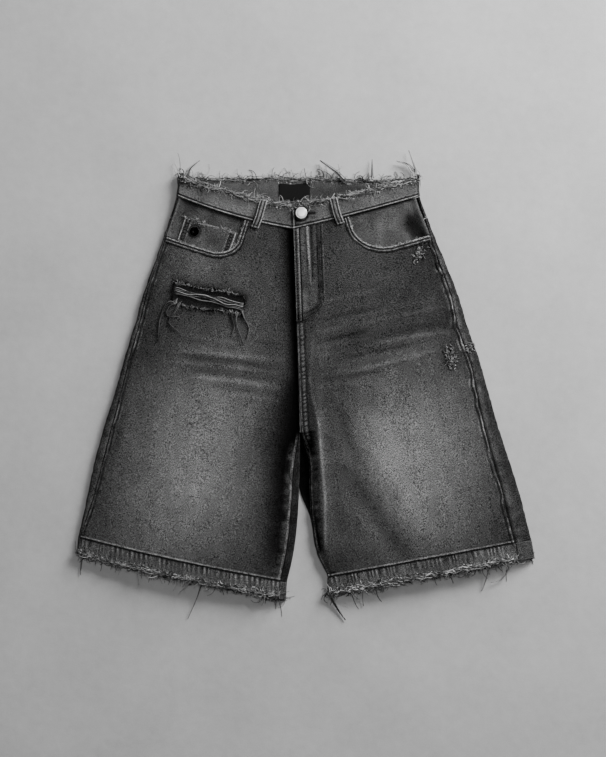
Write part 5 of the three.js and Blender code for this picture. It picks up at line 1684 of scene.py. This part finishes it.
def fray_paths(line, way, count, seed, short, long, curl=3, spread=1.4, rise=0.3, inset=1.5, clumps=0.6):
    """Paths of loose yarns along an edge. way is +1 where they leave it towards +Y and -1 towards -Y."""
    chance = np.random.default_rng(seed)
    centres = chance.uniform(0, 1, max(3, count // 12))
    clumped = chance.choice(centres, count) + chance.normal(0, 0.006, count)
    share = np.where(chance.random(count) < clumps, clumped, chance.random(count))
    share = np.clip(share, 0.002, 0.998)
    root, ahead, behind = along(line, share), along(line, share + 0.002), along(line, share - 0.002)
    tangent = (ahead - behind)[:, :2]
    out = np.stack([-tangent[:, 1], tangent[:, 0]], -1)
    out *= way * np.sign(out[:, 1:]) / np.maximum(np.linalg.norm(out, axis=-1, keepdims=True), 1e-9)
    heading = np.arctan2(out[:, 1], out[:, 0]) + chance.normal(0, spread, count)
    length = short + (long - short) * chance.random(count) ** 1.4
    turn = chance.normal(0, curl, count)
    at = np.linspace(0, 1, FRAY_STEPS)[None, :]
    angle = heading[:, None] + turn[:, None] * at ** 1.3
    step = (length / (FRAY_STEPS - 1))[:, None]
    x = root[:, :1] - out[:, :1] * inset + np.cumsum(np.cos(angle) * step, 1)
    y = root[:, 1:2] - out[:, 1:] * inset + np.cumsum(np.sin(angle) * step, 1)
    lift = chance.uniform(-0.3, 1, count)[:, None] * rise * length[:, None]
    z = root[:, 2:] + lift * at - 1.2 * rise * length[:, None] * at ** 2
    return np.stack([x, y, np.maximum(z, FRAY_FLOOR)], -1)


def fray_piece(name, groups, long_threads, seed, nodes, tone=(0.008, 0.46), radius=(0.3, 0.8)):
    """Join groups of yarn paths and a few long threads into one frayed edge."""
    chance = np.random.default_rng(seed)
    paths = list(groups)
    thick = [chance.uniform(*radius, sum(len(group) for group in groups))]
    for points, size in long_threads:
        for _ in range(7):
            taper = np.linspace(1.6, 0.3, len(points))[:, None]
            wander = chance.normal(0, size, (1, 3)) * taper
            wander = wander + np.abs(chance.normal(0, 0.3, (len(points), 3)))
            paths.append(curve_through(np.asarray(points, float) + wander, FRAY_STEPS)[None])
            thick.append([size * 0.9])
    paths = np.concatenate(paths)
    shade = lerp(*tone, chance.random(len(paths)) ** 1.8)
    piece = tubes(name, paths, np.concatenate(thick), shade, FRAY_YARN)
    if nodes:
        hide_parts(*nodes)
    print(name, len(paths), "yarns")
    return piece


band_back_edge = band_back_grid[0, 12:-12].copy()
band_back_edge[:, 2] += 1.2


def edge_runners(line, count, seed):
    """Long yarns that have come loose and lie along the raw edge in waves."""
    chance = np.random.default_rng(seed)
    total = length_of(line)
    reach = chance.uniform(12, 34, count) / total
    start = chance.uniform(0.01, 0.99 - reach)
    share = start[:, None] + reach[:, None] * np.linspace(0, 1, FRAY_STEPS)
    every = (count, FRAY_STEPS)
    paths = along(line, share.ravel()).reshape(*every, 3)
    paths[..., 1] += chance.normal(0, 1.6, count)[:, None] + chance.normal(0, 1.3, every)
    paths[..., 0] += chance.normal(0, 1.2, every)
    paths[..., 2] += chance.uniform(0.2, 1.6, every)
    return paths


def edge_tangle(line, way, count, seed, out=9, lift=0.5):
    """Yarns of a raw edge: some stand out, some curl back and some run along it."""
    line = np.array(line)
    line[:, 2] += lift
    kinds = [  # how many, seed, shortest, longest, curl, spread, rise, inset, clumps
        (count, seed, 3, out, 2.6, 1.0, 0.3, 3, 0.8),
        (count, seed + 40, 4, out + 5, 2.8, 1.6, 0.3, 3, 0.6),
        (count // 2, seed + 80, 2, 7, 3.5, 2.8, 0.4, 5, 0.6),
        (count // 12, seed + 90, 9, 2 * out, 1.2, 0.7, 0.3, 1.5, 0.6),
    ]
    return [fray_paths(line, way, *kind) for kind in kinds] + [edge_runners(line, count // 3, seed + 95)]


waist_fray_left = fray_piece(
    "fringe_waist_front_left", edge_tangle(band_left_grid[0], 1, 310, 611), [], 613,
    ["fringe_waist_front_left"])
waist_fray_right = fray_piece(
    "fringe_waist_front_right", edge_tangle(band_right_grid[0], 1, 310, 614), [], 616,
    ["fringe_waist_front_right"])
BACK_LONG_THREADS = [
    ([(-176, 314, 4), (-173, 326, 5), (-160, 337, 4)], 0.6),
    ([(1, 303, 5), (-1, 314, 6), (-4, 326, 6)], 0.7),
    ([(58, 308, 5), (46, 320, 6), (30, 331, 7), (20, 337, 6)], 1.0),
    ([(97, 312, 5), (97, 322, 5), (98, 339, 4)], 0.9),
    ([(158, 320, 5), (150, 331, 5), (135, 336, 6)], 0.8),
    ([(163, 316, 5), (163, 324, 6), (158, 336, 8), (153, 352, 5)], 0.6),
]
waist_fray_back = fray_piece(
    "fringe_waist_back", edge_tangle(band_back_edge, 1, 310, 617, 15), BACK_LONG_THREADS, 619,
    ["fringe_waist_back"], tone=(0.006, 0.42), radius=(0.35, 0.95))

# %% [markdown]
# The hems fray the same way, only downwards, and their yarns droop to the floor. The long threads are the
# ones that show in the photograph, each a short list of points.

# %% Hem fray
HEM_LEFT_THREADS = [
    ([(-334, -252, 8), (-337, -262, 3), (-339, -284, 2)], 0.5),
    ([(-158, -292, 12), (-160, -305, 9), (-167, -325, 4), (-178, -350, 1.6)], 0.6),
]
HEM_RIGHT_THREADS = [
    ([(34, -309, 9), (38, -318, 6), (48, -336, 3), (58.5, -352, 2)], 1.1),
    ([(84, -306, 12), (84, -318, 5), (85, -331, 2)], 0.6),
    ([(271, -271, 12), (271, -282, 7), (265, -303, 3), (262, -308, 2)], 0.6),
    ([(304, -270, 10), (300, -280, 5), (291, -292, 4), (276, -295, 5)], 0.5),
]


def hem_fray(name, grid, threads, seed, count):
    yarns = edge_tangle(grid[-1], -1, count, seed, 13)
    return fray_piece(name, yarns, threads, seed + 2, [name], radius=(0.35, 1.0))


hem_fray_fl = hem_fray("fringe_hem_front_left", hem_fl_grid, HEM_LEFT_THREADS, 621, 370)
hem_fray_fr = hem_fray("fringe_hem_front_right", hem_fr_grid, HEM_RIGHT_THREADS, 625, 370)
hem_fray_bl = hem_fray("fringe_hem_back_left", hem_bl_grid[:, 20:-30], [], 631, 110)
hem_fray_br = hem_fray("fringe_hem_back_right", hem_br_grid[:, 20:-30], [], 635, 110)

# %% [markdown]
# The rip. When denim tears along the leg's width, the warp yarns break and curl at both edges, and the
# pale weft yarns stay, stretched across the hole. Here they are twenty yarns in five strands, each with
# its own sag and waver, and the loose ends that hang on the leg follow the photograph.

# %% Rip
RIP_ENDS = {"left": (-194.0, 150.0, 131.0), "right": (-96.0, 125.0, 109.0)}
RIP_LOOSE = [
    [(-196, 124), (-208, 124), (-219, 98), (-221, 66)],
    [(-194, 123), (-206, 117), (-209, 104), (-191, 103)],
    [(-190, 121), (-198, 108), (-207, 94), (-187, 78)],
    [(-104, 108), (-106, 98), (-103, 86), (-94, 61)],
    [(-96, 112), (-93, 100), (-85, 86), (-90, 69)],
    [(-110, 110), (-111, 99), (-107, 86), (-113, 70)],
]


def rip_weft(count, seed):
    """Weft yarns across the hole, gathered into strands that sag a little."""
    chance = np.random.default_rng(seed)
    share = np.linspace(0, 1, 26)
    strand = np.arange(count) % 5 / 4
    loose = np.where(np.arange(count) < count // 2, 0.012, 0.06)
    start = 0.14 + 0.5 * strand + loose * chance.normal(0, 1, count)
    stop = 0.16 + 0.66 * strand + loose * chance.normal(0, 1, count)
    left_x, left_high, left_low = RIP_ENDS["left"]
    right_x, right_high, right_low = RIP_ENDS["right"]
    x = lerp(left_x - 3, right_x + 3, share)[None, :] + 0 * start[:, None]
    high, low = lerp(left_high, right_high, share), lerp(left_low, right_low, share)
    level = lerp(start[:, None], stop[:, None], share[None, :])
    waver = 1.7 * np.stack([uneven(share * 100, 0 * share + k * 3.7, 18, seed + 1) for k in strand * 9])
    waver += 0.6 * np.stack([uneven(share * 100, 0 * share + k, 11, seed + 2) for k in range(count)])
    y = lerp(high[None, :], low[None, :], level) + 1.7 * waver * np.sin(math.pi * share) ** 0.5
    points = on_front(LEFT, x, y, -0.7)
    points[..., 2] += 0.5 * chance.normal(0, 1, count)[:, None] * np.sin(math.pi * share)
    points[..., 2] -= 1.2 * np.sin(math.pi * share)
    return points


def rip_edges():
    upper, lower = RIP[:5], RIP[6:11]
    groups = []
    for line, way, seed in ((upper, -1, 641), (lower, 1, 642)):
        fine = along(line, np.linspace(0, 1, 120))
        on_cloth = on_front(LEFT, fine[:, 0], fine[:, 1], 0.5)
        groups.append(fray_paths(on_cloth, way, 170, seed, 2, 7, spread=1.3))
        groups.append(fray_paths(on_cloth, -way, 60, seed + 5, 1.0, 5, spread=1.2, rise=0.25, inset=0.5))
    return groups


def loose_threads():
    lines = []
    for path in RIP_LOOSE:
        plan = curve_through(path, 6)
        lines.append((on_front(LEFT, plan[:, 0], plan[:, 1], 1.4), 0.7))
    return lines


def rip():
    edges = rip_edges()
    weft = rip_weft(20, 643)
    chance = np.random.default_rng(644)
    shade = np.where(np.arange(20) < 10, chance.uniform(0.12, 0.4, 20), chance.uniform(0.003, 0.05, 20))
    weft_piece = tubes("rip_weft", weft, chance.uniform(0.3, 0.5, 20), shade, FRAY_YARN, sides=4, tip=1.0)
    edge_piece = fray_piece("fringe_rip", edges, loose_threads(), 646, ["fringe_rip"], tone=(0.003, 0.28))
    return weft_piece, edge_piece


rip_yarns, rip_fray = rip()

# %% [markdown]
# Worn spots and rubbed pocket edges. Three spots of the right leg are rubbed through to a tangle of short
# yarns, and the pocket mouths and the coin pocket's top have a fine fuzz. They use the same yarns, with
# headings all round and tight curls.

# %% Worn spots
def tangle(name, start, stop, wide, count, seed):
    chance = np.random.default_rng(seed)
    share = chance.random(count)
    plan = lerp(np.array(start), np.array(stop), share[:, None]) + chance.normal(0, wide, (count, 2))
    root = on_front(RIGHT, plan[:, 0], plan[:, 1], 0.4)
    at = np.linspace(0, 1, 9)[None, :]
    angle = chance.uniform(0, 2 * math.pi, count)[:, None] + chance.normal(0, 4, count)[:, None] * at
    step = (chance.uniform(2.5, 7, count) / 8)[:, None]
    x = root[:, :1] + np.cumsum(np.cos(angle) * step, 1)
    y = root[:, 1:2] + np.cumsum(np.sin(angle) * step, 1)
    z = root[:, 2:] + 1.5 * chance.random(count)[:, None] * np.sin(math.pi * at)
    shade = 0.004 + 0.42 * chance.random(count) ** 2
    piece = tubes(name, np.stack([x, y, z], -1), chance.uniform(0.35, 0.65, count), shade, FRAY_YARN)
    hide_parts(name)
    return piece


tangle("tuft_thigh", (214, 54), (216, 31), 3.4, 230, 651)
tangle("tuft_side_seam", (243, 52), (246, 60), 3.0, 80, 652)
tangle("tuft_pocket", (166, 190), (173, 206), 3.2, 120, 653)


def mouth_fuzz(scoop, seed):
    plan = mouth_line(scoop)
    edge = on_front(scoop["half"], plan[:, 0], plan[:, 1], 0.9)
    return fray_paths(edge[10:-6], 1, 170, seed, 0.8, 3.5, curl=1.6, inset=-0.2, rise=0.2)


coin_edge = coin_grid[0].copy()
coin_edge[:, 2] += 0.4
pocket_fuzz = fray_piece(
    "pocket_edge_fuzz",
    [mouth_fuzz(SCOOPS["left"], 661), mouth_fuzz(SCOOPS["right"], 662),
     fray_paths(coin_edge, 1, 200, 663, 1.5, 8, inset=2, rise=0.2)],
    [], 664, [], radius=(0.22, 0.42))

# %% [markdown]
# List what is cloth. Every sheet is listed with the size it was cut to, which is worked out from its own
# grid before any crease or pucker was added, and with what it lies on, and its size is printed.

SHEETS = [
    (front_left, ["back_panel_left"], "denim", welt_left, rip_fray, rip_yarns),
    (front_right, ["back_panel_right"], "denim", welt_right),
    (back_left, ["floor"], "denim"),
    (back_right, ["floor"], "denim"),
    (rise_fold_shade_sheet, ["floor"], "denim"),
    (yoke_left, ["floor"], "denim"),
    (yoke_right, ["floor"], "denim"),
    (band_left, ["waistband_back"], "waistband", waist_fray_left),
    (band_right, ["waistband_back"], "waistband", waist_fray_right),
    (band_back, ["floor"], "waistband", waist_fray_back),
    (hem_fl, ["hem_back_left"], "hem", hem_fray_fl),
    (hem_fr, ["hem_back_right"], "hem", hem_fray_fr),
    (hem_bl, ["floor"], "hem", hem_fray_bl),
    (hem_br, ["floor"], "hem", hem_fray_br),
    (facing_left, ["back_panel_left"], "denim"),
    (facing_right, ["back_panel_right"], "denim"),
    (coin, ["pocket_facing_left"], "denim", pocket_fuzz),
    (fly_sheet, ["front_panel_right"], "denim"),
    (loop_left, ["waistband_front_left"], "waistband"),
    (loop_right, ["waistband_front_right"], "waistband"),
    *[(loop, ["waistband_back"], "waistband") for loop in back_loops],
    (waist_label, ["waistband_back"], "label"),
]
for (piece, (flat, area)), rests_on, slot, *pieces in SHEETS:
    print(piece.name, "cut", flat, "area", area)

# %% [markdown]
# Floor, light and camera. A pale plaster floor with faint mottling, one large soft light from the upper
# right, weak light from above and from the sky, and a long lens overhead, so that the garment keeps its
# proportions. The lens is worked out from the camera's height and the stretch of floor that the photo
# covers from top to bottom.

# %% Floor
def plaster():
    finish, tree, shader = new_finish("pale_plaster")
    where = object_place(tree)
    wide = speckle(tree, where, 160, detail=4.0)
    small = speckle(tree, where, 14, detail=4.0)
    fine = speckle(tree, where, 1.6, detail=2.0)
    mottle = plus(tree, times(tree, wide, 0.2), times(tree, small, 0.12))
    mottle = plus(tree, mottle, times(tree, fine, 0.16))
    dress(tree, shader, grey_color(tree, plus(tree, mottle, 0.52)), small, 0.3, 0.6, {"Roughness": 0.9})
    return finish


FLOOR_HALF = 3  # metres
floor_mesh = bpy.data.meshes.new("floor")
floor_corners = [(x * FLOOR_HALF, y * FLOOR_HALF, 0) for x, y in ((-1, -1), (1, -1), (1, 1), (-1, 1))]
floor_mesh.from_pydata(floor_corners, [], [(0, 1, 2, 3)])
floor_mesh.materials.append(plaster())
floor = add_object("floor", floor_mesh)

# %% Light and camera
def soft_light(name, location, size, power):
    lamp = bpy.data.lights.new(name, "AREA")
    lamp.size = size
    lamp.energy = power
    lamp_object = add_object(name, lamp)
    lamp_object.location = location
    lamp_object.rotation_euler = (-Vector(location)).to_track_quat("-Z", "Y").to_euler()


soft_light("key_upper_right", (1.5, 1.62, 0.94), 1.2, 138)
soft_light("overhead_fill", (0.02, 0.28, 2.8), 0.8, 16)
world = bpy.data.worlds.new("soft_sky")
world.use_nodes = True
world.node_tree.nodes["Background"].inputs["Color"].default_value = (1, 1, 1, 1)
world.node_tree.nodes["Background"].inputs["Strength"].default_value = 0.1
bpy.context.scene.world = world

PICTURE = (606, 757)
MM_PER_PIXEL = 1.5
PICTURE_CENTRE = (-5.1, 10.65)
CAMERA_HEIGHT = 4.0
camera = bpy.data.cameras.new("camera_above")
camera.sensor_fit = "VERTICAL"
camera.sensor_height = 36
camera.lens = camera.sensor_height * CAMERA_HEIGHT / (PICTURE[1] * MM_PER_PIXEL * MM)
camera.clip_end = 50
camera_object = add_object("camera_above", camera)
camera_object.location = (PICTURE_CENTRE[0] * MM, PICTURE_CENTRE[1] * MM, CAMERA_HEIGHT)
bpy.context.scene.camera = camera_object
print("lens", round(camera.lens, 1), "mm")
